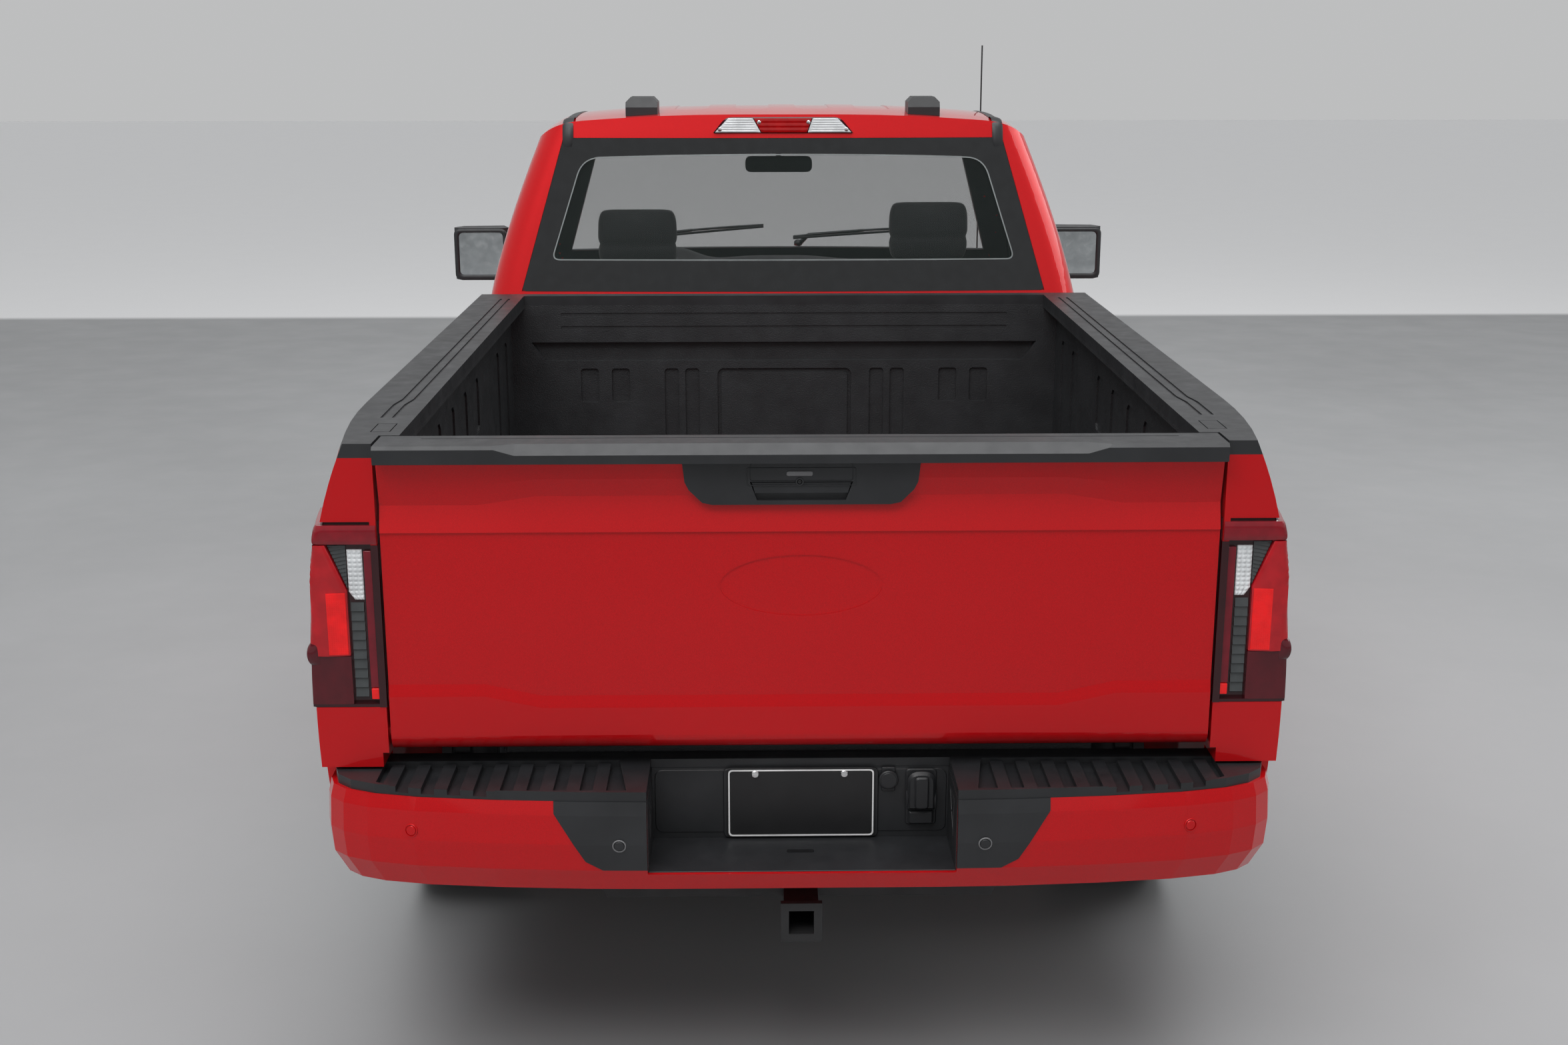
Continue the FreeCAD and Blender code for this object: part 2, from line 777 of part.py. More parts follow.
def make_tailgate_trim():
    half = s.tailgate_half_width
    top = s.rail_height - s.tailgate_cap_height
    lip = tail_face - s.tailgate_cap_lip
    profile = (
        (lip, top), (tail_inner, top), (tail_inner, s.rail_height),
        (lip + s.tailgate_cap_lip * 0.2, s.rail_height), (lip, s.rail_height - s.tailgate_cap_lip * 0.2),
    )
    cap = extrude_x(profile, -half, half)
    sections = []
    for share, size in ((-0.74, 0.06), (-0.67, 1), (0.67, 1), (0.74, 0.06)):
        x = half * share
        reach = s.tailgate_cap_lip * size
        sections.append([
            point(x, lip - s.overrun, s.rail_height + s.overrun),
            point(x, lip + reach * 0.8, s.rail_height + s.overrun),
            point(x, lip + reach * 0.8, s.rail_height - s.overrun * 0.001),
            point(x, lip, s.rail_height - reach * 0.55),
            point(x, lip - s.overrun, s.rail_height - reach * 0.55),
        ])
    cap = cap.cut(ruled(sections))
    groove_y = tail_face + s.tailgate_thickness * 0.62
    groove = box(
        -half * 0.9, half * 0.9, groove_y, groove_y + s.rail_groove_depth,
        s.rail_height - s.rail_groove_depth, s.rail_height + s.overrun,
    )
    return piece("tailgate_trim", cap.cut(groove).fuse(handle_bezel(top)).removeSplitter())


def bezel_outline(top, grow):
    """Outline of the tailgate handle's escutcheon, drawn out by grow."""
    edge = s.handle_half_width + grow
    low = top - s.handle_height - grow
    foot = edge - s.handle_height * 0.5
    ease = s.handle_height * 0.16
    half = (
        (foot - ease, low), (foot + ease * 0.4, low + ease * 0.3), (edge - ease * 0.9, low + ease * 2.1),
        (edge - ease * 0.35, low + ease * 3.2), (edge, top),
    )
    return [(-x, z) for x, z in reversed(half)] + list(half)


def handle_bezel(top):
    """Escutcheon of the tailgate handle, with its finger pocket and paddle."""
    low = top - s.handle_height
    front = tail_face - s.handle_depth * 0.2
    back = tail_face + s.handle_depth - s.seat_gap
    bezel = extrude_y(bezel_outline(top, 0), front, back)
    latch = s.latch_half_width
    sill = low + s.handle_height * 0.1
    head = low + s.handle_height * 0.52
    pocket_cut = extrude_y(
        ((-latch, head), (-latch * 0.86, sill), (latch * 0.86, sill), (latch, head)),
        front - s.overrun, front + s.handle_depth * 0.6,
    )
    paddle = extrude_y(
        (
            (-latch * 0.96, head - s.panel_gap / 3), (-latch * 0.9, sill + s.handle_height * 0.16),
            (latch * 0.9, sill + s.handle_height * 0.16), (latch * 0.96, head - s.panel_gap / 3),
        ),
        front + s.handle_depth * 0.1, front + s.handle_depth * 0.7,
    )
    rim = s.panel_gap / 4
    cover = rounded_slab(
        -latch, latch, head + rim, top - rim * 3, s.panel_gap, front - s.overrun, front + rim
    )
    cover_inner = rounded_slab(
        -latch + rim, latch - rim, head + rim * 2, top - rim * 4, s.panel_gap * 0.8,
        front - s.overrun * 2, front + s.overrun,
    )
    return bezel.cut(pocket_cut).fuse(paddle).cut(cover.cut(cover_inner))


# Rear bumper, step pads and hitch
BUMPER_PLAN_SHARES = (
    (1, 1), (1, 0.66), (0.988, 0.50), (0.955, 0.36), (0.90, 0.25), (0.80, 0.15), (0.64, 0.07), (0.45, 0.015), (0.3, 0),
)


def bumper_outline(half, inset):
    plan = [
        (half * across, rear_end + inset + (s.bumper_depth - inset) * forward)
        for across, forward in BUMPER_PLAN_SHARES
    ]
    return [(-x, y) for x, y in plan] + list(reversed(plan))


BUMPER_LEVEL_SHARES = ((0, 0.030, 0.030), (0.26, 0.004, 0.006), (0.55, 0, 0), (0.86, 0.003, 0.004), (1, 0.010, 0.010))


def bumper_blank(proud):
    """Whole bumper face: folded under at the foot, fullest above the middle."""
    sections = []
    for share, narrow, back in BUMPER_LEVEL_SHARES:
        z = s.bumper_bottom + (s.step_height - s.bumper_bottom) * share
        half = s.bumper_half_width * (1 - narrow) + proud
        inset = s.bumper_half_width * back - proud
        sections.append([point(x, y, z) for x, y in bumper_outline(half, inset)])
    return ruled(sections)


def surround_prism(grow):
    """Space of the dark centre surround, seen from behind."""
    top = s.step_height + s.overrun
    head = s.surround_half_width + grow
    foot = s.surround_foot_half_width + grow
    low = s.surround_bottom - grow
    ease = s.overrun * 0.6
    outline = (
        (-head, top), (-head, s.step_height - ease), (-head + ease * 0.6, s.step_height - ease * 2),
        (-foot - ease * 0.4, low + ease * 0.8), (-foot + ease, low), (foot - ease, low),
        (foot + ease * 0.4, low + ease * 0.8), (head - ease * 0.6, s.step_height - ease * 2),
        (head, s.step_height - ease), (head, top),
    )
    return extrude_y(outline, rear_end - s.overrun, rear_end + s.bumper_depth * 0.5)


def make_rear_bumper():
    half = s.bumper_half_width
    body = bumper_blank(0)
    wall = s.overrun
    side_void = extrude_z(bumper_outline(half - wall * 1.2, wall * 1.2), s.bumper_bottom - wall, s.step_height - wall)
    side_void = side_void.common(box(
        s.niche_half_width + wall, far_x, rear_end, bumper_front - wall, 0, s.step_height
    ))
    niche = box(
        -s.niche_half_width, s.niche_half_width, rear_end - wall, rear_end + s.niche_depth,
        s.niche_floor, s.step_height + wall,
    )
    body = body.cut(niche).cut(side_void).cut(mirrored(side_void))
    body = body.cut(surround_prism(0).common(bumper_blank(s.overrun)).cut(bumper_blank(-s.overrun / 4)))
    return piece("rear_bumper", body.removeSplitter())


def make_step_pads():
    half = s.bumper_half_width - s.overrun / 2
    pads = extrude_z(bumper_outline(half, s.overrun / 4), s.step_height, s.bumper_top)
    middle = s.niche_half_width
    reach = s.overrun * 2
    gap = box(-middle, middle, rear_end - reach, rear_end + s.niche_depth, 0, s.rail_height)
    pads = pads.cut(gap)
    well_x = s.bumper_half_width * 0.36
    well_end = s.bumper_half_width * 0.88
    low = s.step_height + s.overrun * 0.15
    front = rear_end + s.bumper_depth * 0.8
    tread = extrude_z((
        (well_x, rear_end + s.overrun * 0.5), (well_end - s.overrun * 2, rear_end + s.overrun * 0.7),
        (well_end, rear_end + s.overrun * 1.8), (well_end, front), (well_x + s.overrun * 0.6, front),
    ), low, s.bumper_top + s.overrun)
    count = 9
    bars = None
    for index in range(count):
        x = well_x + s.overrun + s.step_tread_pitch * index
        bar = box(x, x + s.step_tread_pitch * 0.5, rear_end, front - s.overrun * 0.3, 0, s.bumper_top - s.overrun * 0.05)
        bars = bar if bars is None else bars.fuse(bar)
    well = tread.cut(bars)
    pads = pads.cut(well).cut(mirrored(well))
    clearance = s.overrun / 4 - s.seat_gap
    surround = surround_prism(-s.seat_gap).common(bumper_blank(s.seat_gap * 5))
    surround = surround.cut(bumper_blank(-clearance)).cut(gap)
    surround = surround.common(box(-far_x, far_x, rear_end - reach, front, 0, s.step_height))
    return piece("step_pads", pads.fuse(surround).removeSplitter())


def origin_item(body, role):
    return [item for item in body.Origin.OriginFeatures if item.Role == role][0]


def new_body(name):
    body = doc.addObject("PartDesign::Body", name)
    body.Label = name
    return body


def polygon_sketch(body, name, role, corners, offset):
    """A sketch on an origin plane whose corners are bound to the sheet."""
    sketch = body.newObject("Sketcher::SketchObject", name)
    sketch.AttachmentSupport = (origin_item(body, role), "")
    sketch.MapMode = "FlatFace"
    sketch.setExpression("AttachmentOffset.Base.z", text_of(offset))
    flat = [FreeCAD.Vector(float(u), float(v), 0) for u, v in corners]
    count = len(corners)
    for index in range(count):
        sketch.addGeometry(Part.LineSegment(flat[index], flat[(index + 1) % count]), False)
    for index in range(count):
        sketch.addConstraint(Sketcher.Constraint("Coincident", index, 2, (index + 1) % count, 1))
    for index, (u, v) in enumerate(corners):
        for kind, value in (("DistanceX", u), ("DistanceY", v)):
            number = sketch.addConstraint(Sketcher.Constraint(kind, -1, 1, index, 1, float(value)))
            sketch.setExpression(f"Constraints[{number}]", text_of(value))
    return sketch


def pad(body, name, role, corners, start, length):
    """Pad of an outline from start onward, along the plane's axis."""
    reverse = role == "XZ_Plane"
    sketch = polygon_sketch(body, name + "_sketch", role, corners, -start if reverse else start)
    feature = body.newObject("PartDesign::Pad", name)
    feature.Profile = sketch
    feature.Reversed = reverse
    feature.setExpression("Length", text_of(length))
    return feature


def pocket(body, name, role, corners, start, length):
    """Pocket of an outline from start onward, along the plane's axis."""
    reverse = role == "XZ_Plane"
    sketch = polygon_sketch(body, name + "_sketch", role, corners, -start if reverse else start)
    feature = body.newObject("PartDesign::Pocket", name)
    feature.Profile = sketch
    feature.Reversed = not reverse
    feature.setExpression("Length", text_of(length))
    return feature


def mirror_feature(body, feature, name):
    mirror = body.newObject("PartDesign::Mirrored", name)
    mirror.Originals = [feature]
    mirror.MirrorPlane = (origin_item(body, "YZ_Plane"), [""])
    body.Tip = mirror
    return mirror


def square(half, centre_z):
    low = centre_z - half
    high = centre_z + half
    return ((-half, low), (half, low), (half, high), (-half, high))


def make_hitch():
    body = new_body("hitch_receiver")
    outer = s.hitch_outer / 2
    mouth = rear_end + s.bumper_reach / 2
    centre = s.hitch_centre_height
    pad(body, "tube", "XZ_Plane", square(outer, centre), mouth, s.hitch_length)
    pad(body, "collar", "XZ_Plane", square(outer + s.hitch_collar, centre), mouth, s.hitch_collar * 2)
    top = s.rail_rear_low - s.seat_gap
    low_x = s.rail_outer_x - s.hitch_outer
    mid_x = s.rail_inner_x - s.hitch_outer
    bar = (
        (-s.rail_outer_x, top), (-s.rail_inner_x, top), (-mid_x, centre + outer),
        (mid_x, centre + outer), (s.rail_inner_x, top), (s.rail_outer_x, top),
        (low_x, centre - outer), (-low_x, centre - outer),
    )
    bar_y = mouth + s.hitch_length - s.hitch_outer
    pad(body, "crossbar", "XZ_Plane", bar, bar_y, s.hitch_outer)
    depth = s.hitch_length - s.hitch_outer
    pocket(body, "bore", "XZ_Plane", square(s.hitch_bore / 2, centre), mouth, depth)
    return body


# Cab
GREENHOUSE_SIDE_SHARES = (0, 0.15, 0.38, 0.67, 1)
ROOF_LINE_SHARES = (0.022, 0.004, 0, 0.009, 0.035)
ROOF_CROSS_SHARES = ((0, 0), (0.45, 0.05), (0.78, 0.24), (0.93, 0.52), (1.0, 1.0), (1.05, 2.2))


def screen_slope():
    """Forward run of the windshield for each unit of fall."""
    return float(screen_base_y - header_y) / float(s.greenhouse_top - s.screen_base_height)


def pillar_y(z, back):
    """Station of the windshield at a height, set back by a distance."""
    return screen_base_y - (z - s.screen_base_height) * screen_slope() - back


def greenhouse_level(share, width_share, inset):
    """Plan outline of the cab above the belt, at one height."""
    z = s.greenhouse_base + (s.greenhouse_top - s.greenhouse_base) * share
    span = s.greenhouse_base_half - s.greenhouse_top_half
    half = s.greenhouse_base_half - span * width_share - inset
    rear = cab_back + s.greenhouse_rear_lean * share + inset
    front = pillar_y(z, inset)
    corner = s.greenhouse_corner
    rear_side = rear + s.rear_glass_bow
    front_side = front - s.windshield_bow
    ease = 1 - math.sqrt(0.5)
    plan = (
        (half - corner, rear_side),
        (half - corner * ease, rear_side + corner * ease),
        (half, rear_side + corner),
        (half, front_side - corner),
        (half - corner * ease, front_side - corner * ease),
        (half - corner, front_side),
    )
    a, b, c, d, e, f = [point(x, y, z) for x, y in plan]
    a2, b2, c2, d2, e2, f2 = [point(-x, y, z) for x, y in plan]
    return Part.Wire([
        arc(a2, point(0, rear, z), a), arc(a, b, c), line(c, d), arc(d, e, f),
        arc(f, point(0, front, z), f2), arc(f2, e2, d2), line(d2, c2), arc(c2, b2, a2),
    ])


def roof_section(y, drop, inset):
    """Cross-section of the crowned roof, closed well below it."""
    top = s.roof_height * (1 - drop) - inset
    edge = s.greenhouse_top_half + s.overrun / 3 - inset
    fall = s.roof_wall * 1.9
    right = [point(edge * u, y, top - fall * v) for u, v in ROOF_CROSS_SHARES]
    left = [point(-p.x, p.y, p.z) for p in reversed(right[1:])]
    side_z = right[-1].z
    corners = (
        right[-1], point(far_x, y, side_z), point(far_x, y, s.rocker_height),
        point(-far_x, y, s.rocker_height), point(-far_x, y, side_z), left[0],
    )
    sides = [line(start, end) for start, end in zip(corners, corners[1:])]
    return Part.Wire([spline(left + right)] + sides)


def greenhouse(inset):
    """Cab above the belt: leaning rounded sides under a crowned roof."""
    last = len(GREENHOUSE_SIDE_SHARES) - 1
    levels = [
        greenhouse_level(index / last, width_share, inset)
        for index, width_share in enumerate(GREENHOUSE_SIDE_SHARES)
    ]
    above = [greenhouse_level(1, 1, inset), greenhouse_level(1.15, 1.2, inset)]
    sides = Part.makeLoft(levels, True, False).fuse(Part.makeLoft(above, True, True))
    reach = (s.greenhouse_top - s.greenhouse_base) / 2
    start = cab_back - reach * 0.2
    length = header_y + reach * 0.5 - start
    sections = []
    for index, drop in enumerate(ROOF_LINE_SHARES):
        station = start + length * index / (len(ROOF_LINE_SHARES) - 1)
        sections.append(roof_section(station, drop, inset))
    cabin = sides.common(Part.makeLoft(sections, True, False))
    low = s.greenhouse_base - s.overrun
    forward = sides.common(box(-far_x, far_x, header_y + reach * 0.4, front_end, low, s.roof_height))
    under_hood = box(-far_x, far_x, fender_rear, front_end, low, s.screen_base_height)
    return cabin.fuse(forward).cut(under_hood)


def lower_cab(inset):
    top = s.belt_height - inset
    half = side_blank(0, cab_back + inset, fender_rear, s.rocker_height, top, -inset)
    return half.fuse(mirrored(half))


cab_blanks = {}


def cab_blank(inset):
    """Whole outer form of the cab, drawn in by an inset."""
    key = float(inset)
    if key not in cab_blanks:
        cab_blanks[key] = lower_cab(inset).fuse(greenhouse(inset))
    return cab_blanks[key]


def door_outline(shrink):
    """Side-view outline of the right-hand door, drawn in by shrink."""
    top = s.door_top - shrink
    knee = s.screen_base_height - shrink * 0.4
    back = s.pillar_width + shrink * 1.4
    rear = door_rear + shrink
    return (
        (rear, s.door_bottom + shrink), (door_front - shrink, s.door_bottom + shrink),
        (door_front - shrink, knee), (pillar_y(top, back), top),
        (rear + s.overrun, top), (rear, top - s.overrun),
    )


def window_outline(grow):
    """Side-view outline of the door window opening, drawn out by grow."""
    sill = s.belt_height + s.door_step - grow
    top = s.door_top - s.window_border + grow
    back = s.pillar_width + s.window_border * 1.3 - grow * 1.4
    rear = door_rear + s.window_border - grow
    return ((rear, sill), (pillar_y(sill, back), sill), (pillar_y(top, back), top), (rear, top))


def right_prism(outline):
    return extrude_x(outline, s.hood_half_width * 0.5, far_x)


def windshield_prism(shrink):
    low = s.screen_base_height + s.overrun * 0.6 + shrink
    high = s.greenhouse_top - s.overrun - shrink
    foot = s.greenhouse_base_half - s.greenhouse_corner * 1.3 - shrink
    head = s.greenhouse_top_half - s.greenhouse_corner * 0.9 - shrink
    return extrude_y(((-foot, low), (foot, low), (head, high), (-head, high)), 0, front_end)


def rear_window_prism(shrink):
    low = s.belt_height + s.overrun * 1.7 + shrink
    high = s.greenhouse_top - s.overrun * 0.95 - shrink
    foot = s.greenhouse_base_half - s.greenhouse_corner * 1.45 - shrink
    head = s.greenhouse_top_half - s.greenhouse_corner * 0.7 - shrink
    outline = ((-foot, low), (foot, low), (head, high), (-head, high))
    return extrude_y(outline, cab_back - s.overrun, cab_back + s.greenhouse_rear_lean * 2)


def make_cab_shell():
    shell = cab_blank(0)
    inner_half = s.body_half_width - s.door_thickness - s.panel_gap
    room = box(
        -inner_half, inner_half, cab_back + s.cab_back_wall, door_front - s.overrun,
        s.cab_floor_height, s.belt_height - s.overrun / 2,
    )
    headroom = greenhouse(s.roof_wall).common(box(
        -far_x, far_x, cab_back, front_end, s.belt_height - s.overrun, s.roof_height * 2
    ))
    tunnel_half = inner_half - s.overrun
    under = box(
        -tunnel_half, tunnel_half, cab_back - s.overrun, front_end,
        s.rocker_height - s.overrun, cab_under,
    )
    shell = shell.cut(room.fuse(headroom)).cut(under)
    recess = right_prism(door_outline(-s.door_gap)).cut(cab_blank(s.door_skin + s.door_gap))
    kept_floor = box(0, inner_half, cab_back, fender_rear, 0, s.cab_floor_height)
    opening = recess.fuse(right_prism(door_outline(s.door_step)).cut(kept_floor))
    shell = shell.cut(opening).cut(mirrored(opening))
    glass_seat = cab_blank(s.glass_thickness + s.seat_gap)
    for prism in (windshield_prism, rear_window_prism):
        shell = shell.cut(prism(0).cut(glass_seat)).cut(prism(s.glass_bond))
    half = s.hood_half_width
    firewall = box(
        -half, half, fender_rear, fender_rear + s.overrun, cab_under, s.screen_base_height
    )
    pillar = box(half, far_x, fender_rear, fender_rear + s.overrun, cab_under, s.belt_height)
    pillar = pillar.common(front_blank(s.fender_wall + s.seat_gap))
    cowl = box(
        -half, half, fender_rear + s.overrun, screen_base_y,
        s.screen_base_height - s.overrun * 2, s.screen_base_height,
    )
    shell = shell.fuse(firewall).fuse(cowl).fuse(pillar).fuse(mirrored(pillar))
    shell = shell.cut(roof_grooves())
    mount_x = (s.rail_inner_x + s.rail_outer_x) / 2
    for y in (cab_back + s.overrun * 4, door_front - s.overrun * 2):
        mount = cylinder_z(s.overrun * 0.9, rail_top, cab_under, mount_x, y)
        shell = shell.fuse(mount).fuse(mirrored(mount))
    for z in (s.low_crease_height + s.hinge_barrel_length, s.high_crease_height - s.hinge_barrel_length * 1.6):
        hinge = door_hinge(z)
        shell = shell.fuse(hinge).fuse(mirrored(hinge))
    return piece("cab_shell", shell.removeSplitter())


def roof_grooves():
    """Shallow lengthwise pressings across the roof."""
    skin = greenhouse(0).cut(greenhouse(s.roof_groove_depth))
    start = cab_back + s.greenhouse_rear_lean * 2.2
    grooves = []
    for index in (-1.5, -0.5, 0.5, 1.5):
        x = s.roof_groove_pitch * index
        half = s.roof_groove_pitch * 0.28
        plan = (
            (x - half, start + s.overrun), (x - half * 0.6, start), (x + half * 0.6, start),
            (x + half, start + s.overrun), (x + half, header_y - s.overrun * 3), (x - half, header_y - s.overrun * 3),
        )
        grooves.append(extrude_z(plan, s.greenhouse_top, s.roof_height + s.overrun))
    return skin.common(Part.makeCompound(grooves))


def door_hinge(z):
    """Hinge barrel in the gap ahead of the right-hand door, on its leaf."""
    x = s.body_half_width - s.hinge_barrel_radius
    y = door_front + s.door_gap / 2
    barrel = cylinder_z(s.hinge_barrel_radius, z, z + s.hinge_barrel_length, x, y)
    leaf = box(x - s.fender_wall * 1.2, x, y, fender_rear, z, z + s.hinge_barrel_length)
    return barrel.fuse(leaf)


def make_glass():
    skin = cab_blank(0).cut(cab_blank(s.glass_thickness))
    piece("windshield", skin.common(windshield_prism(s.seat_gap)))
    piece("rear_window", skin.common(rear_window_prism(s.seat_gap)))


def make_doors():
    skin = cab_blank(0).common(right_prism(door_outline(0))).cut(cab_blank(s.door_skin))
    core = cab_blank(s.door_skin).common(right_prism(door_outline(s.door_step * 2)))
    sill = s.belt_height - s.door_skin
    lower_core = core.common(box(s.body_half_width - s.door_thickness, far_x, door_rear, door_front, 0, sill))
    upper_core = core.cut(greenhouse(s.roof_wall)).common(box(
        0, far_x, door_rear, door_front, sill - s.door_skin, s.roof_height
    ))
    door = skin.fuse(lower_core).fuse(upper_core)
    door = door.cut(right_prism(window_outline(0)))
    grip = s.handle_grip
    handle_z = s.high_crease_height + s.overrun * 2.5
    cup = box(
        s.body_half_width - s.door_step * 1.6, far_x, door_rear + s.overrun, door_rear + s.overrun * 4.5,
        handle_z - grip, handle_z + grip,
    )
    bar_x = s.body_half_width - s.high_crease_inset - s.door_step * 0.7
    bar = box(
        bar_x, bar_x + grip * 0.9, door_rear + s.overrun * 0.6, door_rear + s.overrun * 4.9,
        handle_z - grip * 0.45, handle_z + grip * 0.45,
    )
    stalk = box(
        bar_x - grip * 2, bar_x + grip * 0.3, door_rear + s.overrun * 0.9, door_rear + s.overrun * 1.3,
        handle_z - grip * 0.4, handle_z + grip * 0.4,
    )
    door = door.cut(cup).fuse(bar).fuse(stalk).removeSplitter()
    depth = s.door_skin * 0.8
    pane = cab_blank(depth).cut(cab_blank(depth + s.glass_thickness))
    glass = pane.common(right_prism(window_outline(-s.seat_gap)))
    for side in (-1, 1):
        piece("door_" + side_name(side), on_side(door, side))
        piece("door_glass_" + side_name(side), on_side(glass, side))


def make_mirrors():
    outer = s.mirror_half_width
    inner = outer - s.mirror_width
    centre_y = door_front - s.mirror_depth
    low = s.belt_height - s.overrun * 1.4
    ease = s.mirror_depth / 4
    plan = (
        (inner, centre_y - ease), (inner + ease, centre_y - ease * 2), (outer - ease, centre_y - ease * 2),
        (outer, centre_y - ease * 0.6), (outer - ease, centre_y + ease * 1.4),
        (inner + ease, centre_y + ease * 2),
    )
    head = extrude_z(plan, low, low + s.mirror_height)
    arm = box(
        s.hood_half_width, inner + ease, centre_y - ease, centre_y + ease,
        low + ease, low + ease * 2.6,
    )
    shape = head.fuse(arm).cut(cab_blank(-s.seat_gap)).removeSplitter()
    for side in (-1, 1):
        piece("mirror_" + side_name(side), on_side(shape, side))


# Front body
BOW_SHARES = ((0, 0), (0.32, 0.012), (0.6, 0.06), (0.8, 0.15), (0.93, 0.3), (1.0, 0.55), (1.06, 1.0))


def bow_prism(front, half, z0, z1):
    """Right half of the space behind a bowed nose, seen from above."""
    depth = (front_end - front_axle_y) * 0.9
    curve = [point(half * u, front - depth * v, z0) for u, v in BOW_SHARES]
    back = fender_rear - s.overrun
    corners = (
        curve[-1], point(curve[-1].x, back, z0), point(0, back, z0), curve[0],
    )
    sides = [line(start, end) for start, end in zip(corners, corners[1:])]
    return Part.Face(Part.Wire([spline(curve)] + sides)).extrude(point(0, 0, z1 - z0))


def front_section(y, inset):
    """Closed right-hand half section ahead of the doors."""
    share = float(y - fender_rear) / float(front_end - fender_rear)
    outer = s.body_half_width - side_inset(y) - inset
    top = s.belt_height - (s.belt_height - s.hood_front_height) * share - inset
    bottom = s.rocker_height
    ease = s.shoulder
    high = (
        (outer - s.high_crease_inset, s.high_crease_height),
        (outer - ease * (0.45 + 0.25 * share), top - ease * (1.7 - 0.1 * share)),
        (outer - ease * (1.0 + 0.4 * share), top - ease * (0.42 + 0.3 * share)),
        (outer - ease * (2.3 + 0.6 * share), top - ease * (0.08 + 0.2 * share)),
        (outer * 0.55, top + s.hood_crown * 0.4),
        (0, top + s.hood_crown),
    )
    edges = lower_side(outer, y, bottom)
    edges.append(spline(point(x, y, z) for x, z in high))
    corners = (high[-1], (0, bottom), (outer - s.rocker_inset, bottom))
    return Part.Wire(edges + chain(corners, y))


front_blanks = {}


def front_blank(inset):
    """Right half of the body ahead of the doors, drawn in by an inset."""
    key = float(inset)
    if key not in front_blanks:
        count = 6
        length = front_end - fender_rear
        wires = [front_section(fender_rear + length * index / count, inset) for index in range(count + 1)]
        bow = bow_prism(nose_y - inset, s.body_half_width - inset, 0, s.roof_height)
        front_blanks[key] = Part.makeLoft(wires, True, False).common(bow)
    return front_blanks[key]


def lamp_zone(clearance):
    """Space of the right-hand headlamp, drawn in by a clearance."""
    return box(
        s.grille_half_width + s.panel_gap + clearance, far_x,
        nose_y - s.headlamp_wrap - s.nose_face_depth + clearance, front_end,
        s.headlamp_bottom + clearance, s.grille_top - clearance,
    )


def make_hood():
    zone = box(
        -s.overrun, s.hood_half_width, screen_base_y + s.panel_gap, front_end,
        s.grille_top + s.panel_gap, s.roof_height,
    )
    hood = front_blank(0).cut(front_blank(s.hood_thickness)).common(zone)
    arm_x = s.hood_half_width * 0.82
    arm_top = s.screen_base_height - s.hood_thickness * 0.6
    arm = box(
        arm_x, arm_x + s.hood_thickness, screen_base_y + s.seat_gap, screen_base_y + s.overrun * 3,
        arm_top - s.overrun, arm_top,
    )
    brace = box(
        arm_x, arm_x + s.hood_thickness, screen_base_y + s.overrun, screen_base_y + s.overrun * 3,
        arm_top - s.hood_thickness, arm_top,
    )
    hood = hood.fuse(arm).fuse(brace)
    return piece("hood", hood.fuse(mirrored(hood)).removeSplitter())


def make_front_fenders():
    inner = front_blank(s.fender_wall)
    flare = arch_flare(front_axle_y, s.low_crease_height).cut(inner)
    fender = front_blank(0).cut(inner).fuse(flare)
    hood_edge = s.hood_half_width + s.panel_gap
    face_y = (nose_y + front_axle_y) / 2
    bumper_rear = front_axle_y + s.arch_radius
    cuts = (
        box(-s.overrun, hood_edge, 0, front_end, s.grille_top + s.seat_gap, s.roof_height),
        box(-s.overrun, hood_edge, 0, face_y, 0, s.roof_height),
        box(-s.overrun, s.grille_half_width + s.panel_gap, 0, front_end, 0, s.roof_height),
        lamp_zone(0),
        box(0, far_x, bumper_rear - s.overrun, front_end, 0, s.front_bumper_top + s.seat_gap),
        arch_cut(front_axle_y, s.rail_inner_x),
        cab_blank(-s.seat_gap),
    )
    for cut in cuts:
        fender = fender.cut(cut)
    return piece("front_fenders", both_sides(fender.removeSplitter()))


def make_headlamps():
    lamp = front_blank(0).cut(front_blank(s.headlamp_depth)).common(lamp_zone(s.seat_gap))
    return piece("headlamps", both_sides(lamp))


def make_grille():
    edge = s.grille_half_width + s.panel_gap - s.seat_gap
    zone = box(-s.overrun, edge, 0, front_end, s.grille_bottom, s.grille_top)
    grille = front_blank(0).cut(front_blank(s.nose_face_depth)).common(zone)
    count = 4
    pitch = (s.grille_top - s.grille_bottom - s.grille_bar) / count
    for index in range(count):
        low = s.grille_bottom + s.grille_bar + pitch * index
        slot = box(
            -s.overrun, s.grille_half_width - s.grille_bar * 1.5, front_axle_y, front_end,
            low, low + pitch - s.grille_bar,
        )
        grille = grille.cut(slot)
    for share in (0, 0.42, 0.84):
        x = s.grille_half_width * share
        y = nose_y - s.nose_face_depth * (0.85 + share * 0.9)
        rib = box(x, x + s.grille_bar * 0.6, y, y + s.nose_face_depth * 0.5, s.grille_bottom, s.grille_top)
        grille = grille.fuse(rib)
    return piece("grille", grille.fuse(mirrored(grille)).removeSplitter())


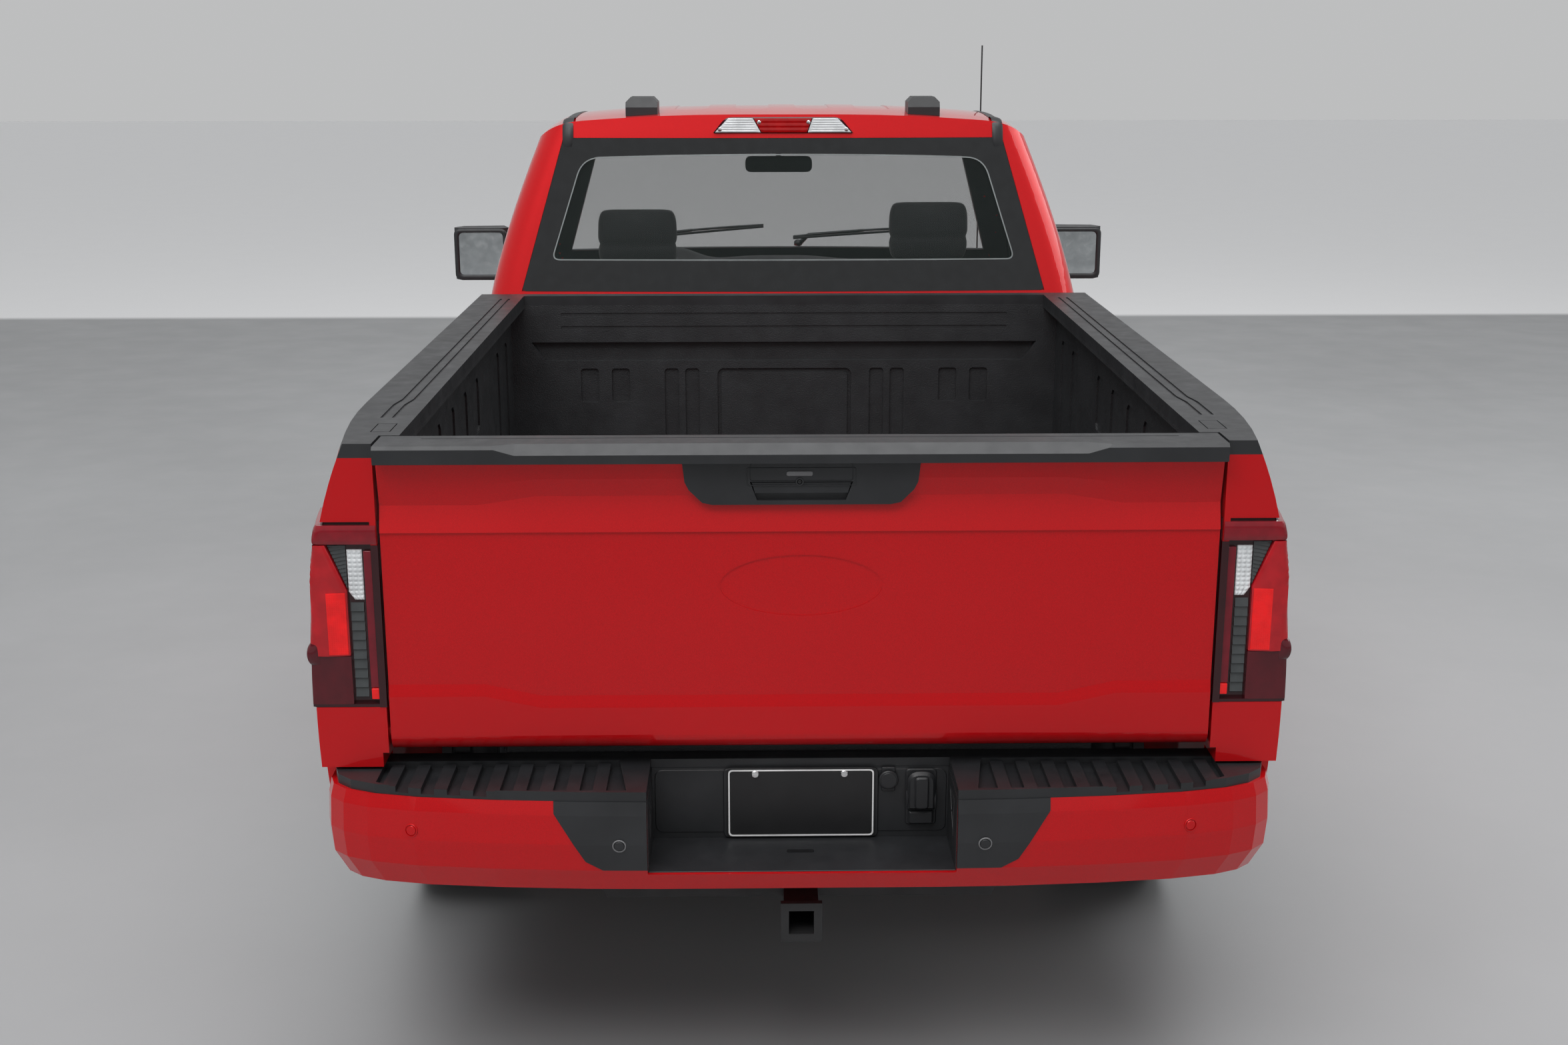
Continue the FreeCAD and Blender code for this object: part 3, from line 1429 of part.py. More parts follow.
def make_front_bumper():
    half = s.body_half_width - s.panel_gap
    low = s.front_bumper_bottom
    high = s.front_bumper_top
    bumper = bow_prism(front_end, half, low, high)
    void = bow_prism(
        front_end - s.front_bumper_depth, half - s.fender_wall, low - s.overrun, high + s.overrun
    )
    start = front_axle_y + s.arch_radius + s.overrun / 2
    bumper = bumper.cut(void).common(box(-s.overrun, far_x, start, front_end * 2, 0, s.roof_height))
    bracket = box(
        s.rail_inner_x, s.rail_outer_x, front_end - s.front_bumper_depth * 2,
        front_end - s.front_bumper_depth * 0.7, s.rail_low, rail_top,
    )
    middle = (low + high) / 2
    intake = extrude_y((
        (-s.overrun, low + s.overrun), (half * 0.42, low + s.overrun), (half * 0.5, middle),
        (half * 0.46, high - s.overrun * 1.6), (-s.overrun, high - s.overrun * 1.6),
    ), front_end - s.front_bumper_depth * 1.5, front_end * 2)
    fog = extrude_y((
        (half * 0.66, low + s.overrun), (half * 0.86, low + s.overrun), (half * 0.86, middle),
        (half * 0.7, middle),
    ), front_end - s.front_bumper_depth * 5, front_end * 2)
    shell = bow_prism(front_end - s.front_bumper_depth * 0.6, half - s.fender_wall / 2, low, high)
    bumper = bumper.cut(intake).cut(fog.cut(shell)).fuse(bracket)
    return piece("front_bumper", bumper.fuse(mirrored(bumper)).removeSplitter())


def make_arch_liners():
    """Half-round shields over the front wheels, closed on the inboard side."""
    wall = s.arch_lip * 0.8
    inner_x = s.rail_outer_x - wall
    ring = cylinder_x(s.arch_radius + wall, inner_x, far_x, front_axle_y, s.tyre_radius)
    ring = ring.cut(cylinder_x(s.arch_radius, s.rail_outer_x, far_x, front_axle_y, s.tyre_radius))
    reach = s.arch_radius * 2
    level = rail_top + s.seat_gap
    ring = ring.cut(box(0, far_x, front_axle_y - reach, front_axle_y + reach, 0, level))
    tower = s.overrun * 2
    slot_top = s.tyre_radius + s.arch_radius * 0.9
    slot = box(0, s.rail_outer_x + wall, front_axle_y - tower, front_axle_y + tower, 0, slot_top)
    ring = ring.cut(slot).common(front_blank(s.fender_wall + s.seat_gap))
    return piece("arch_liners", both_sides(ring.removeSplitter()))


# Wheels
TYRE_SHARES = (
    (-0.40, 0), (-0.49, 0.3), (-0.5, 0.55), (-0.46, 0.86), (-0.36, 1),
    (0.36, 1), (0.46, 0.86), (0.5, 0.55), (0.49, 0.3), (0.40, 0),
)


def wheel_places():
    for label, y in (("front", front_axle_y), ("rear", rear_axle_y)):
        for side in (-1, 1):
            yield label + "_" + side_name(side), side, y


def place_wheel(body, side, y):
    turn = FreeCAD.Rotation(FreeCAD.Vector(0, 0, 1), 0 if side > 0 else 180)
    body.Placement = FreeCAD.Placement(point(s.track_half * side, y, s.tyre_radius), turn)
    body.setExpression("Placement.Base.x", text_of(s.track_half * side))
    body.setExpression("Placement.Base.y", text_of(y))
    body.setExpression("Placement.Base.z", text_of(s.tyre_radius))


def revolve(body, name, corners):
    """Revolution of an (x, radius) outline about the wheel's axle."""
    sketch = polygon_sketch(body, name + "_sketch", "XZ_Plane", corners, 0)
    feature = body.newObject("PartDesign::Revolution", name)
    feature.Profile = sketch
    feature.ReferenceAxis = (sketch, ["H_Axis"])
    feature.Angle = 360
    return feature


def make_tyre(name, side, y):
    body = new_body("tyre_" + name)
    bead = s.rim_radius + s.seat_gap
    corners = [(s.tyre_width * across, bead + (s.tyre_radius - bead) * up) for across, up in TYRE_SHARES]
    revolve(body, "tyre", corners)
    place_wheel(body, side, y)


def make_rim(name, side, y):
    body = new_body("rim_" + name)
    half = s.rim_width / 2
    wall = s.rim_wall
    lip = s.rim_radius - wall * 2
    throat = s.rim_radius - wall * 3
    face = s.hub_offset + s.hub_length
    corners = (
        (-half, lip), (-half, s.rim_radius), (half, s.rim_radius), (half, lip),
        (half - wall * 2, throat), (face, s.hub_radius), (face, s.hub_bore_radius),
        (s.hub_offset, s.hub_bore_radius), (s.hub_offset, s.hub_radius * 1.2),
        (half - wall * 5, throat),
    )
    revolve(body, "rim", corners)
    disc_half = s.disc_thickness / 2
    disc = (
        (-disc_half, s.hub_bore_radius), (-disc_half, s.disc_radius), (disc_half, s.disc_radius),
        (disc_half, s.hub_radius), (s.hub_offset, s.hub_radius), (s.hub_offset, s.hub_bore_radius),
    )
    revolve(body, "disc", disc)
    doc.recompute()
    root = s.hub_radius * 1.3
    crown = throat - wall / 2
    window = (
        (-s.hub_radius * 0.28, root), (s.hub_radius * 0.28, root),
        (s.hub_radius * 0.62, crown), (-s.hub_radius * 0.62, crown),
    )
    feature = pocket(body, "window", "YZ_Plane", window, s.disc_thickness, s.rim_width)
    pattern = body.newObject("PartDesign::PolarPattern", "windows")
    pattern.Originals = [feature]
    pattern.Axis = (origin_item(body, "X_Axis"), [""])
    pattern.Angle = 360
    pattern.Occurrences = 6
    body.Tip = pattern
    doc.recompute()
    seat_radius = (s.hub_radius + s.hub_bore_radius) / 2
    nut = s.rim_wall * 0.75
    nut_seat = ((-nut, seat_radius - nut), (nut, seat_radius - nut), (nut, seat_radius + nut), (-nut, seat_radius + nut))
    seat = pocket(body, "nut_seat", "YZ_Plane", nut_seat, s.hub_offset + s.hub_length - s.rim_wall, s.rim_width)
    seats = body.newObject("PartDesign::PolarPattern", "nut_seats")
    seats.Originals = [seat]
    seats.Axis = (origin_item(body, "X_Axis"), [""])
    seats.Angle = 360
    seats.Occurrences = 6
    body.Tip = seats
    place_wheel(body, side, y)


def make_knuckles():
    x = kingpin_x
    z = s.tyre_radius
    half = s.knuckle_width / 2
    tall = s.knuckle_half_height
    deep = half * 1.6
    upright = box(x - half, x + half, front_axle_y - deep, front_axle_y + deep, z - tall, z + tall)
    for start in (z + tall - s.ball_pin_length, z - tall - s.overrun):
        hole = cylinder_z(
            s.ball_hole_radius, start, start + s.ball_pin_length + s.overrun, x, front_axle_y
        )
        upright = upright.cut(hole)
    spindle_end = s.track_half + s.hub_offset + s.hub_length
    spindle = cylinder_x(s.spindle_radius, x, spindle_end, front_axle_y, z)
    flange = cylinder_x(s.hub_radius, x + half, x + half * 1.8, front_axle_y, z)
    caliper_y = front_axle_y - s.disc_radius * 0.85
    caliper = box(
        s.track_half - s.disc_thickness * 1.4, s.track_half + s.disc_thickness * 1.2,
        caliper_y - s.knuckle_width, caliper_y + half, z - s.knuckle_width, z + s.knuckle_width,
    )
    disc_side = s.disc_thickness / 2 + s.arm_clearance
    disc_gap = cylinder_x(
        s.disc_radius + s.arm_clearance, s.track_half - disc_side, s.track_half + disc_side,
        front_axle_y, z,
    )
    carrier = box(
        x - half, s.track_half - s.disc_thickness, caliper_y - half, front_axle_y, z - half, z + half
    )
    shape = upright.fuse(flange).fuse(caliper).fuse(carrier).cut(disc_gap).fuse(spindle)
    shape = shape.removeSplitter()
    for side in (-1, 1):
        piece("knuckle_" + side_name(side), on_side(shape, side))


def control_arm(level, low):
    """Right-hand arm with its ball pin reaching to the knuckle at a level."""
    half = s.knuckle_width / 2
    root = s.rail_outer_x + s.seat_gap
    waist_x = kingpin_x - s.knuckle_width * 2.5
    spread = s.overrun * 2.2
    near = half * 1.5
    plan = (
        (root, -spread), (root + s.overrun * 2, -spread), (waist_x, -near), (kingpin_x + half, -half),
        (kingpin_x + half, half), (waist_x, near), (root + s.overrun * 2, spread), (root, spread),
    )
    arm = extrude_z([(x, front_axle_y + y) for x, y in plan], low, low + s.arm_thickness)
    upper = float(low) >= float(level)
    start = level - s.ball_pin_length if upper else level
    return arm.fuse(cylinder_z(s.ball_pin_radius, start, start + s.ball_pin_length, kingpin_x, front_axle_y))


def make_front_suspension():
    z = s.tyre_radius
    lower_top = z - s.knuckle_half_height - s.arm_clearance
    upper_low = z + s.knuckle_half_height + s.arm_clearance
    lower = control_arm(lower_top, lower_top - s.arm_thickness)
    upper = control_arm(upper_low, upper_low)
    root = s.rail_outer_x + s.seat_gap
    unit = s.overrun
    strut_x = root + unit * 1.8
    tower_z = z + s.arch_radius * 0.8
    strut = cylinder_z(unit * 0.8, lower_top, tower_z, strut_x, front_axle_y)
    coil = cylinder_z(unit * 1.3, lower_top + unit * 3, upper_low - unit / 2, strut_x, front_axle_y)
    eye = cylinder_z(unit * 1.1, upper_low - unit, upper_low + unit * 2, strut_x, front_axle_y)
    bridge = box(
        root - s.rail_depth / 2, strut_x + unit, front_axle_y - unit, front_axle_y + unit,
        tower_z, tower_z + s.arm_thickness,
    )
    leg = box(
        root - s.rail_depth / 2, s.rail_outer_x, front_axle_y - unit, front_axle_y + unit,
        rail_top, tower_z,
    )
    strut_group = lower.fuse(strut).fuse(coil).fuse(bridge).fuse(leg).removeSplitter()
    upper = upper.cut(eye)
    solids = [strut_group, upper, mirrored(strut_group), mirrored(upper)]
    return piece("front_suspension", Part.makeCompound(solids))


# Frame
def make_frame():
    body = new_body("ladder_frame")
    front = front_end - s.front_bumper_depth * 2 - s.seat_gap
    rear = bumper_front + s.seat_gap
    kick_front = rear_axle_y + s.rear_overhang * 0.58
    kick_rear = rear_axle_y + s.rear_overhang * 0.38
    side = (
        (rear, s.rail_rear_low), (kick_rear, s.rail_rear_low), (kick_front, s.rail_low),
        (front, s.rail_low), (front, rail_top), (kick_front + s.rail_depth * 0.3, rail_top),
        (kick_rear + s.rail_depth * 0.3, rail_rear_top), (rear, rail_rear_top),
    )
    width = s.rail_outer_x - s.rail_inner_x
    rail = pad(body, "rail", "YZ_Plane", side, s.rail_inner_x, width)
    mirror_feature(body, rail, "rail_mirrored")
    doc.recompute()
    reach = s.rail_inner_x + width / 4
    unit = s.overrun
    members = (
        (rear, rail_rear_top - s.rail_rear_depth * 0.8, s.rail_rear_depth * 0.7),
        (rear_axle_y - s.rear_overhang * 0.165, rail_rear_top - unit * 1.4, unit * 1.2),
        (kick_rear + unit, rail_rear_top - unit * 1.5, unit * 1.3),
        (door_front - s.door_length * 0.35, s.rail_low - unit * 0.8, unit),
        (front_axle_y - unit, engine_member_top - unit * 1.5, unit * 1.5),
        (front - unit * 4, s.rail_low + unit / 2, s.rail_depth * 0.7),
    )
    for index, (y, low, tall) in enumerate(members):
        corners = ((-reach, low), (reach, low), (reach, low + tall), (-reach, low + tall))
        pad(body, f"cross_member_{index}", "XZ_Plane", corners, y, unit * 1.6)
        doc.recompute()
    return body


# Engine and driveline
def make_engine():
    half = s.engine_half_width
    low = engine_member_top + s.seat_gap
    waist = low + s.engine_height * 0.45
    high = low + s.engine_height
    outline = (
        (-half * 0.5, low), (half * 0.5, low), (half, waist), (half, high), (-half, high), (-half, waist),
    )
    return piece("engine_block", extrude_y(outline, gearbox_front, gearbox_front + s.engine_length))


def make_gearbox():
    rear = gearbox_front - s.gearbox_length
    front = gearbox_front - s.seat_gap
    waist = rear + s.gearbox_length / 2
    half = s.gearbox_half_width
    plan = (
        (-half * 0.5, rear), (half * 0.5, rear), (half * 0.8, waist), (half, front),
        (-half, front), (-half * 0.8, waist),
    )
    return piece("gearbox", extrude_z(plan, s.rail_low + s.overrun, rail_top - s.overrun / 4))


def make_driveshaft():
    reach = rear_axle_y + s.differential_radius * 1.2 + s.seat_gap
    gearbox_rear = gearbox_front - s.gearbox_length
    start = point(0, reach - s.overrun, s.tyre_radius)
    end = point(0, gearbox_rear - s.seat_gap * 2, rail_top - s.rail_depth * 0.45)
    run = end - start
    tube = Part.makeCylinder(float(s.driveshaft_radius), run.Length + float(s.overrun), start, run)
    keep = box(-s.overrun * 3, s.overrun * 3, reach, gearbox_rear - s.seat_gap, 0, s.roof_height)
    return piece("driveshaft", tube.common(keep))


def leaf_spring():
    """Right-hand leaf spring with its seat on the axle and its two hangers."""
    unit = s.overrun
    centre = s.rail_outer_x + s.spring_half_width * 1.5
    x0 = centre - s.spring_half_width
    x1 = centre + s.spring_half_width
    low = s.tyre_radius + s.axle_tube_radius
    rise = s.rail_rear_low - low
    leaf = s.spring_leaf
    rear = rear_axle_y - s.rear_overhang * 0.5
    front = rear_axle_y + s.rear_overhang * 0.5
    profile = (
        (rear, low + rise * 0.7), (rear_axle_y - unit * 2, low), (rear_axle_y + unit * 2, low),
        (front, low + rise * 0.45), (front, low + rise * 0.45 + leaf),
        (rear_axle_y + unit * 2, low + leaf * 2), (rear_axle_y - unit * 2, low + leaf * 2),
        (rear, low + rise * 0.7 + leaf),
    )
    spring = extrude_x(profile, x0, x1)
    seat = box(
        x0, x1, rear_axle_y - unit, rear_axle_y + unit, s.tyre_radius, low + leaf
    )
    spring = spring.fuse(seat)
    top = s.rail_rear_low + s.rail_rear_depth * 0.3
    for y, up in ((rear, 0.7), (front - leaf, 0.45)):
        hanger = box(s.rail_outer_x + s.seat_gap, x1, y, y + leaf, low + rise * up, top)
        spring = spring.fuse(hanger)
    return spring


def make_rear_axle():
    z = s.tyre_radius
    spindle_end = s.track_half + s.hub_offset + s.hub_length
    tube_end = s.track_half - s.rim_width / 2 - s.arm_clearance
    axle = cylinder_x(s.spindle_radius, -spindle_end, spindle_end, rear_axle_y, z)
    axle = axle.fuse(cylinder_x(s.axle_tube_radius, -tube_end, tube_end, rear_axle_y, z))
    axle = axle.fuse(Part.makeSphere(float(s.differential_radius), point(0, rear_axle_y, z)))
    nose_end = rear_axle_y + s.differential_radius * 1.2
    axle = axle.fuse(cylinder_y(s.differential_radius / 2, rear_axle_y, nose_end, 0, z))
    spring = leaf_spring()
    return piece("rear_axle", axle.fuse(spring).fuse(mirrored(spring)).removeSplitter())


def pipe_along(route, radius):
    """Round tube of straight runs with a ball at each bend."""
    shape = Part.makeSphere(float(radius), route[1])
    for start, end in zip(route, route[1:]):
        run = end - start
        shape = shape.fuse(Part.makeCylinder(float(radius), run.Length, start, run))
    for bend in route[2:-1]:
        shape = shape.fuse(Part.makeSphere(float(radius), bend))
    return shape


def make_exhaust():
    unit = s.overrun
    x = s.rail_inner_x - s.muffler_radius * 1.3
    z = s.rail_low + unit
    muffler_front = door_rear + s.muffler_length * 0.8
    high = rail_rear_top - s.muffler_radius
    low = s.tyre_radius
    tip = low + unit * 4
    hump = s.differential_radius
    route = [
        point(x, door_front - s.door_length * 0.4, z),
        point(x, rear_axle_y + s.rear_overhang * 0.5, z + unit),
        point(x, rear_axle_y + hump * 1.6, high),
        point(x, rear_axle_y - hump, high),
        point(x, rear_axle_y - hump * 2, low),
        point(s.rail_outer_x + unit * 2, rear_axle_y - s.rear_overhang * 0.4, low),
        point(s.rail_outer_x + unit * 5, rear_axle_y - s.rear_overhang * 0.62, tip),
        point(s.rail_outer_x + unit * 7.5, rear_axle_y - s.rear_overhang * 0.72, tip),
    ]
    shape = pipe_along(route, s.pipe_radius)
    muffler = cylinder_y(
        s.muffler_radius, muffler_front - s.muffler_length, muffler_front, x, z + unit / 4
    )
    hanger_y = muffler_front - s.muffler_length / 2
    hanger = box(
        x, s.rail_inner_x - s.seat_gap, hanger_y, hanger_y + s.overrun,
        z - s.overrun * 0.2, z + s.overrun * 0.5,
    )
    return piece("exhaust", shape.fuse(muffler).fuse(hanger).removeSplitter())


def make_fuel_tank():
    front = door_front - s.door_length * 0.6
    tank = box(
        -s.rail_inner_x + s.seat_gap, -s.driveshaft_radius * 2, front - s.tank_length, front,
        s.tyre_radius, s.tyre_radius + s.tank_height,
    )
    return piece("fuel_tank", tank.makeChamfer(float(s.overrun), tank.Edges))


def make_spare():
    y = rear_axle_y - s.rear_overhang * 0.49
    low = s.rail_rear_low - s.spare_width * 0.4
    tyre = cylinder_z(s.spare_radius, low, low + s.spare_width, 0, y)
    tyre = tyre.makeChamfer(float(s.spare_width * 0.14), tyre.Edges)
    hole = cylinder_z(s.spare_radius * 0.58, low - s.overrun, low + s.spare_width * 0.6, 0, y)
    hanger = cylinder_z(s.overrun, low + s.spare_width * 0.8, bed_under - s.seat_gap, 0, y)
    return piece("spare_wheel", tyre.cut(hole).fuse(hanger).removeSplitter())


# Cabin
def make_seats():
    rear = cab_back + s.cab_back_wall + s.greenhouse_rear_lean * 0.55
    floor = s.cab_floor_height + s.seat_gap
    cushion = floor + s.seat_cushion_height
    back = s.seat_back_top
    half = s.seat_half_width
    unit = s.overrun
    front = rear + s.seat_cushion_height * 2.2
    profile = (
        (rear + unit * 2, floor), (front, floor), (front, cushion),
        (rear + s.seat_cushion_height * 0.85, cushion), (rear + unit * 3, back), (rear, back),
        (rear + unit, cushion),
    )
    head = box(
        s.seat_centre - half * 0.55, s.seat_centre + half * 0.55, rear + s.seat_gap,
        rear + unit * 2.5, back, s.headrest_top,
    )
    outer = extrude_x(profile, s.seat_centre - half, s.seat_centre + half).fuse(head).removeSplitter()
    middle_half = s.seat_centre - half - s.panel_gap
    middle = extrude_x(profile, -middle_half, middle_half)
    return piece("seats", Part.makeCompound([outer, mirrored(outer), middle]))


def column_line():
    """Hub point and forward direction of the leaning steering column."""
    lean = math.radians(24)
    y = door_front - s.overrun - s.dash_depth * 2.5
    hub = point(-s.seat_centre, y, s.belt_height - s.dash_depth * 0.95)
    return hub, FreeCAD.Vector(0, math.cos(lean), -math.sin(lean))


def make_dashboard():
    half = s.body_half_width - s.door_thickness - s.panel_gap * 3
    front = door_front - s.overrun
    rear = front - s.dash_depth * 1.6
    high = s.belt_height - s.overrun
    depth = s.dash_depth
    profile = (
        (front, high), (rear + s.overrun, high), (rear, high - depth * 0.3),
        (rear + s.overrun * 0.5, high - depth * 0.9), (rear + s.overrun * 2.5, high - depth * 1.9),
        (front, high - depth * 2),
    )
    hub, run = column_line()
    column = Part.makeCylinder(float(s.column_radius), float(depth * 1.5), hub, run)
    return piece("dashboard", extrude_x(profile, -half, half).fuse(column).removeSplitter())


def steering_rim(hub, run, reach, grip):
    """Ring with an eight-sided grip."""
    side = FreeCAD.Vector(1, 0, 0)
    corners = []
    for index in range(8):
        angle = math.radians(45 * index)
        corners.append(hub + side * (reach + grip * math.cos(angle)) + run * (grip * math.sin(angle)))
    return Part.Face(lines(corners)).revolve(hub, run, 360)


def make_steering_wheel():
    hub, run = column_line()
    grip = float(s.steering_wheel_grip)
    reach = float(s.steering_wheel_radius) - grip
    shape = steering_rim(hub, run, reach, grip)
    boss = Part.makeCylinder(float(s.column_radius * 2.6), grip * 3, hub - run * grip, run)
    across = FreeCAD.Vector(1, 0, 0)
    shape = shape.fuse(boss)
    for way in (across, -across, run.cross(across)):
        shape = shape.fuse(Part.makeCylinder(grip * 0.8, reach, hub, way))
    socket = Part.makeCylinder(float(s.column_radius + s.seat_gap / 6), grip * 3, hub, run)
    return piece("steering_wheel", shape.cut(socket).removeSplitter())


def make_radiator():
    half = s.grille_half_width * 0.85
    front = nose_y - s.nose_face_depth * 2
    low = rail_top + s.seat_gap
    return piece("radiator", box(-half, half, front - s.nose_face_depth, front, low, s.grille_top - s.overrun))


def make_high_lamp():
    """High stop lamp at the roof's rear edge."""
    half = s.high_lamp_half_width
    z = s.greenhouse_top
    low = z - s.overrun * 0.55
    high = z + s.overrun * 0.6
    outline = ((-half, low), (half, low), (half * 0.92, high), (-half * 0.92, high))
    start = cab_back + s.greenhouse_rear_lean * 0.9
    lamp = extrude_y(outline, start, cab_back + s.greenhouse_rear_lean * 1.6)
    return piece("high_stop_lamp", lamp.cut(cab_blank(-s.seat_gap)))


def make_antenna():
    y = front_axle_y - s.antenna_from_axle
    low = s.hood_front_height
    mast = cylinder_z(s.antenna_radius, low, s.antenna_top, s.antenna_x, y)
    base = Part.makeCone(
        float(s.antenna_radius * 5), float(s.antenna_radius * 1.5), float(s.overrun * 3),
        point(s.antenna_x, y, low),
    )
    return piece("antenna", mast.fuse(base).cut(front_blank(-s.seat_gap)).removeSplitter())


def make_roof_pods():
    """Two low covers at the back of the roof."""
    x = s.greenhouse_top_half * 0.59
    y = cab_back + s.greenhouse_rear_lean * 1.4
    half = s.roof_pod_half_width
    top = s.roof_height + s.roof_pod_rise
    ease = s.roof_pod_rise * 0.45
    low = s.greenhouse_top - s.overrun
    outline = (
        (x - half, low), (x + half, low), (x + half, top - ease), (x + half - ease, top),
        (x - half + ease, top), (x - half, top - ease),
    )
    pod = extrude_y(outline, y, y + s.overrun * 3)
    chamfer = extrude_x(
        ((y - half, top - ease * 2), (y, top - ease * 2), (y + ease, top), (y + ease, top + half), (y - half, top + half)),
        0, far_x,
    )
    return piece("roof_pods", both_sides(pod.cut(chamfer).cut(cab_blank(-s.seat_gap))))


def build_all():
    make_bedsides()
    make_tail_lamps()
    make_bed_box()
    make_rail_caps()
    make_tailgate()
    make_tailgate_trim()
    make_rear_bumper()
    make_step_pads()
    make_hitch()
    make_cab_shell()
    make_glass()
    make_doors()
    make_mirrors()
    make_hood()
    make_front_fenders()
    make_headlamps()
    make_grille()
    make_front_bumper()
    make_arch_liners()
    for name, side, y in wheel_places():
        make_tyre(name, side, y)
        make_rim(name, side, y)
    make_knuckles()
    make_front_suspension()
    make_frame()
    make_engine()
    make_gearbox()
    make_driveshaft()
    make_rear_axle()
    make_exhaust()
    make_fuel_tank()
    make_spare()
    make_seats()
    make_dashboard()
    make_steering_wheel()
    make_radiator()
    make_high_lamp()
    make_antenna()
    make_roof_pods()


def write_parts():
    doc.recompute()
    os.makedirs("parts", exist_ok=True)
    for item in doc.Objects:
        if "Invalid" in item.State or "Error" in item.State:
            raise RuntimeError(f"{item.Label} failed: {item.State}")
    parts = [item for item in doc.Objects if item.TypeId in ("Part::Feature", "PartDesign::Body")]
    for item in parts:
        if item.Shape.isNull() or not item.Shape.isValid():
            raise RuntimeError(f"{item.Label} has no valid shape")
    for item in parts:
        item.Shape.exportStep(f"parts/{item.Label}.step")
        print(item.Label, len(item.Shape.Solids), "solids", round(item.Shape.Volume / 1e6, 2), "litres")


build_all()
write_parts()
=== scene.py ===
import json
import math

import bmesh
import bpy
from mathutils import Matrix, Vector
from mathutils.bvhtree import BVHTree


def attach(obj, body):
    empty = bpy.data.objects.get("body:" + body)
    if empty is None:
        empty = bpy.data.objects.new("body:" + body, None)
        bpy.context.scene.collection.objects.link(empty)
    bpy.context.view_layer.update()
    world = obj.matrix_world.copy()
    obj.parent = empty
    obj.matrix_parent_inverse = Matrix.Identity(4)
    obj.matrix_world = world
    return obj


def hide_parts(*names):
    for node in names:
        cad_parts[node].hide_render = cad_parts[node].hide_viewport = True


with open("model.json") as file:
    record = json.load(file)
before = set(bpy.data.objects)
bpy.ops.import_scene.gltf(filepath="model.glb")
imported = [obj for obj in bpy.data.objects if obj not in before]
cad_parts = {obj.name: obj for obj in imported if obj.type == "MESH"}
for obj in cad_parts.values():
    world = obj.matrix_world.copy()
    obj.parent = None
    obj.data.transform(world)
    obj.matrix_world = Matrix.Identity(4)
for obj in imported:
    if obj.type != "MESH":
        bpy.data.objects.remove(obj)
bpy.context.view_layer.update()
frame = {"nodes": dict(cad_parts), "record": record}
nodes = frame["nodes"]

# Directions of the shared frame: x to the right, y ahead, z up
AHEAD = Vector((0, 1, 0))
UP = Vector((0, 0, 1))

# Camera, at the photograph's angle
PHOTO_WIDTH = 2352
FOCAL_PIXELS = 2732.18
SENSOR = 36.0
camera_data = bpy.data.cameras.new("camera")
camera = bpy.data.objects.new("camera", camera_data)
bpy.context.scene.collection.objects.link(camera)
camera.location = (-0.0878, -5.9447, 2.1544)
camera.rotation_euler = (math.radians(90) - 0.2595, 0.0006, -0.0159)
camera_data.sensor_width = SENSOR
camera_data.lens = FOCAL_PIXELS / PHOTO_WIDTH * SENSOR
camera_data.clip_end = 200
bpy.context.scene.camera = camera
bpy.context.scene.view_settings.view_transform = "Standard"


# Materials
def fill(node, values):
    for socket, value in values.items():
        node.inputs[socket].default_value = value


def new_material(name):
    material = bpy.data.materials.new(name)
    material.use_nodes = True
    tree = material.node_tree
    return material, tree, tree.nodes["Principled BSDF"]


def own_place(tree, output="Object"):
    return tree.nodes.new("ShaderNodeTexCoord").outputs[output]


def noise(tree, scale, detail=2.0, stretch=None):
    """Noise in the piece's own coordinates."""
    source = own_place(tree)
    texture = tree.nodes.new("ShaderNodeTexNoise")
    fill(texture, {"Scale": scale, "Detail": detail})
    if stretch:
        mapping = tree.nodes.new("ShaderNodeMapping")
        fill(mapping, {"Scale": stretch})
        tree.links.new(source, mapping.inputs["Vector"])
        source = mapping.outputs["Vector"]
    tree.links.new(source, texture.inputs["Vector"])
    return texture.outputs["Fac"]


def wander(tree, pattern, colour, spread, start=0.35, end=0.65):
    """A colour that wanders round its tone with a pattern."""
    node = tree.nodes.new("ShaderNodeValToRGB")
    stops = node.color_ramp.elements
    for number, place, share in ((0, start, 1 - spread), (1, end, 1 + spread)):
        stops[number].position = place
        stops[number].color = (*(min(1.0, c * share) for c in colour), 1)
    tree.links.new(pattern, node.inputs["Fac"])
    return node.outputs["Color"]


def map_range(tree, value, ends, targets):
    """A value moved from one range to another, and held there."""
    node = tree.nodes.new("ShaderNodeMapRange")
    fill(node, {"From Min": ends[0], "From Max": ends[1], "To Min": targets[0], "To Max": targets[1]})
    tree.links.new(value, node.inputs["Value"])
    return node.outputs["Result"]


def rough_range(tree, shader, value, low, high):
    tree.links.new(map_range(tree, value, (0.3, 0.7), (low, high)), shader.inputs["Roughness"])


def bump(tree, shader, height, strength, distance):
    node = tree.nodes.new("ShaderNodeBump")
    fill(node, {"Strength": strength, "Distance": distance})
    tree.links.new(height, node.inputs["Height"])
    tree.links.new(node.outputs["Normal"], shader.inputs["Normal"])


def make_finish(name, colour, spread, grain, rough, rough_grain, sockets, relief=None):
    """Colour that follows one noise, roughness that follows another, and relief from a third."""
    material, tree, shader = new_material(name)
    tree.links.new(wander(tree, noise(tree, *grain), colour, spread), shader.inputs["Base Color"])
    rough_range(tree, shader, noise(tree, *rough_grain), *rough)
    fill(shader, sockets)
    if relief:
        texture, strength, distance = relief
        bump(tree, shader, noise(tree, *texture), strength, distance)
    return material


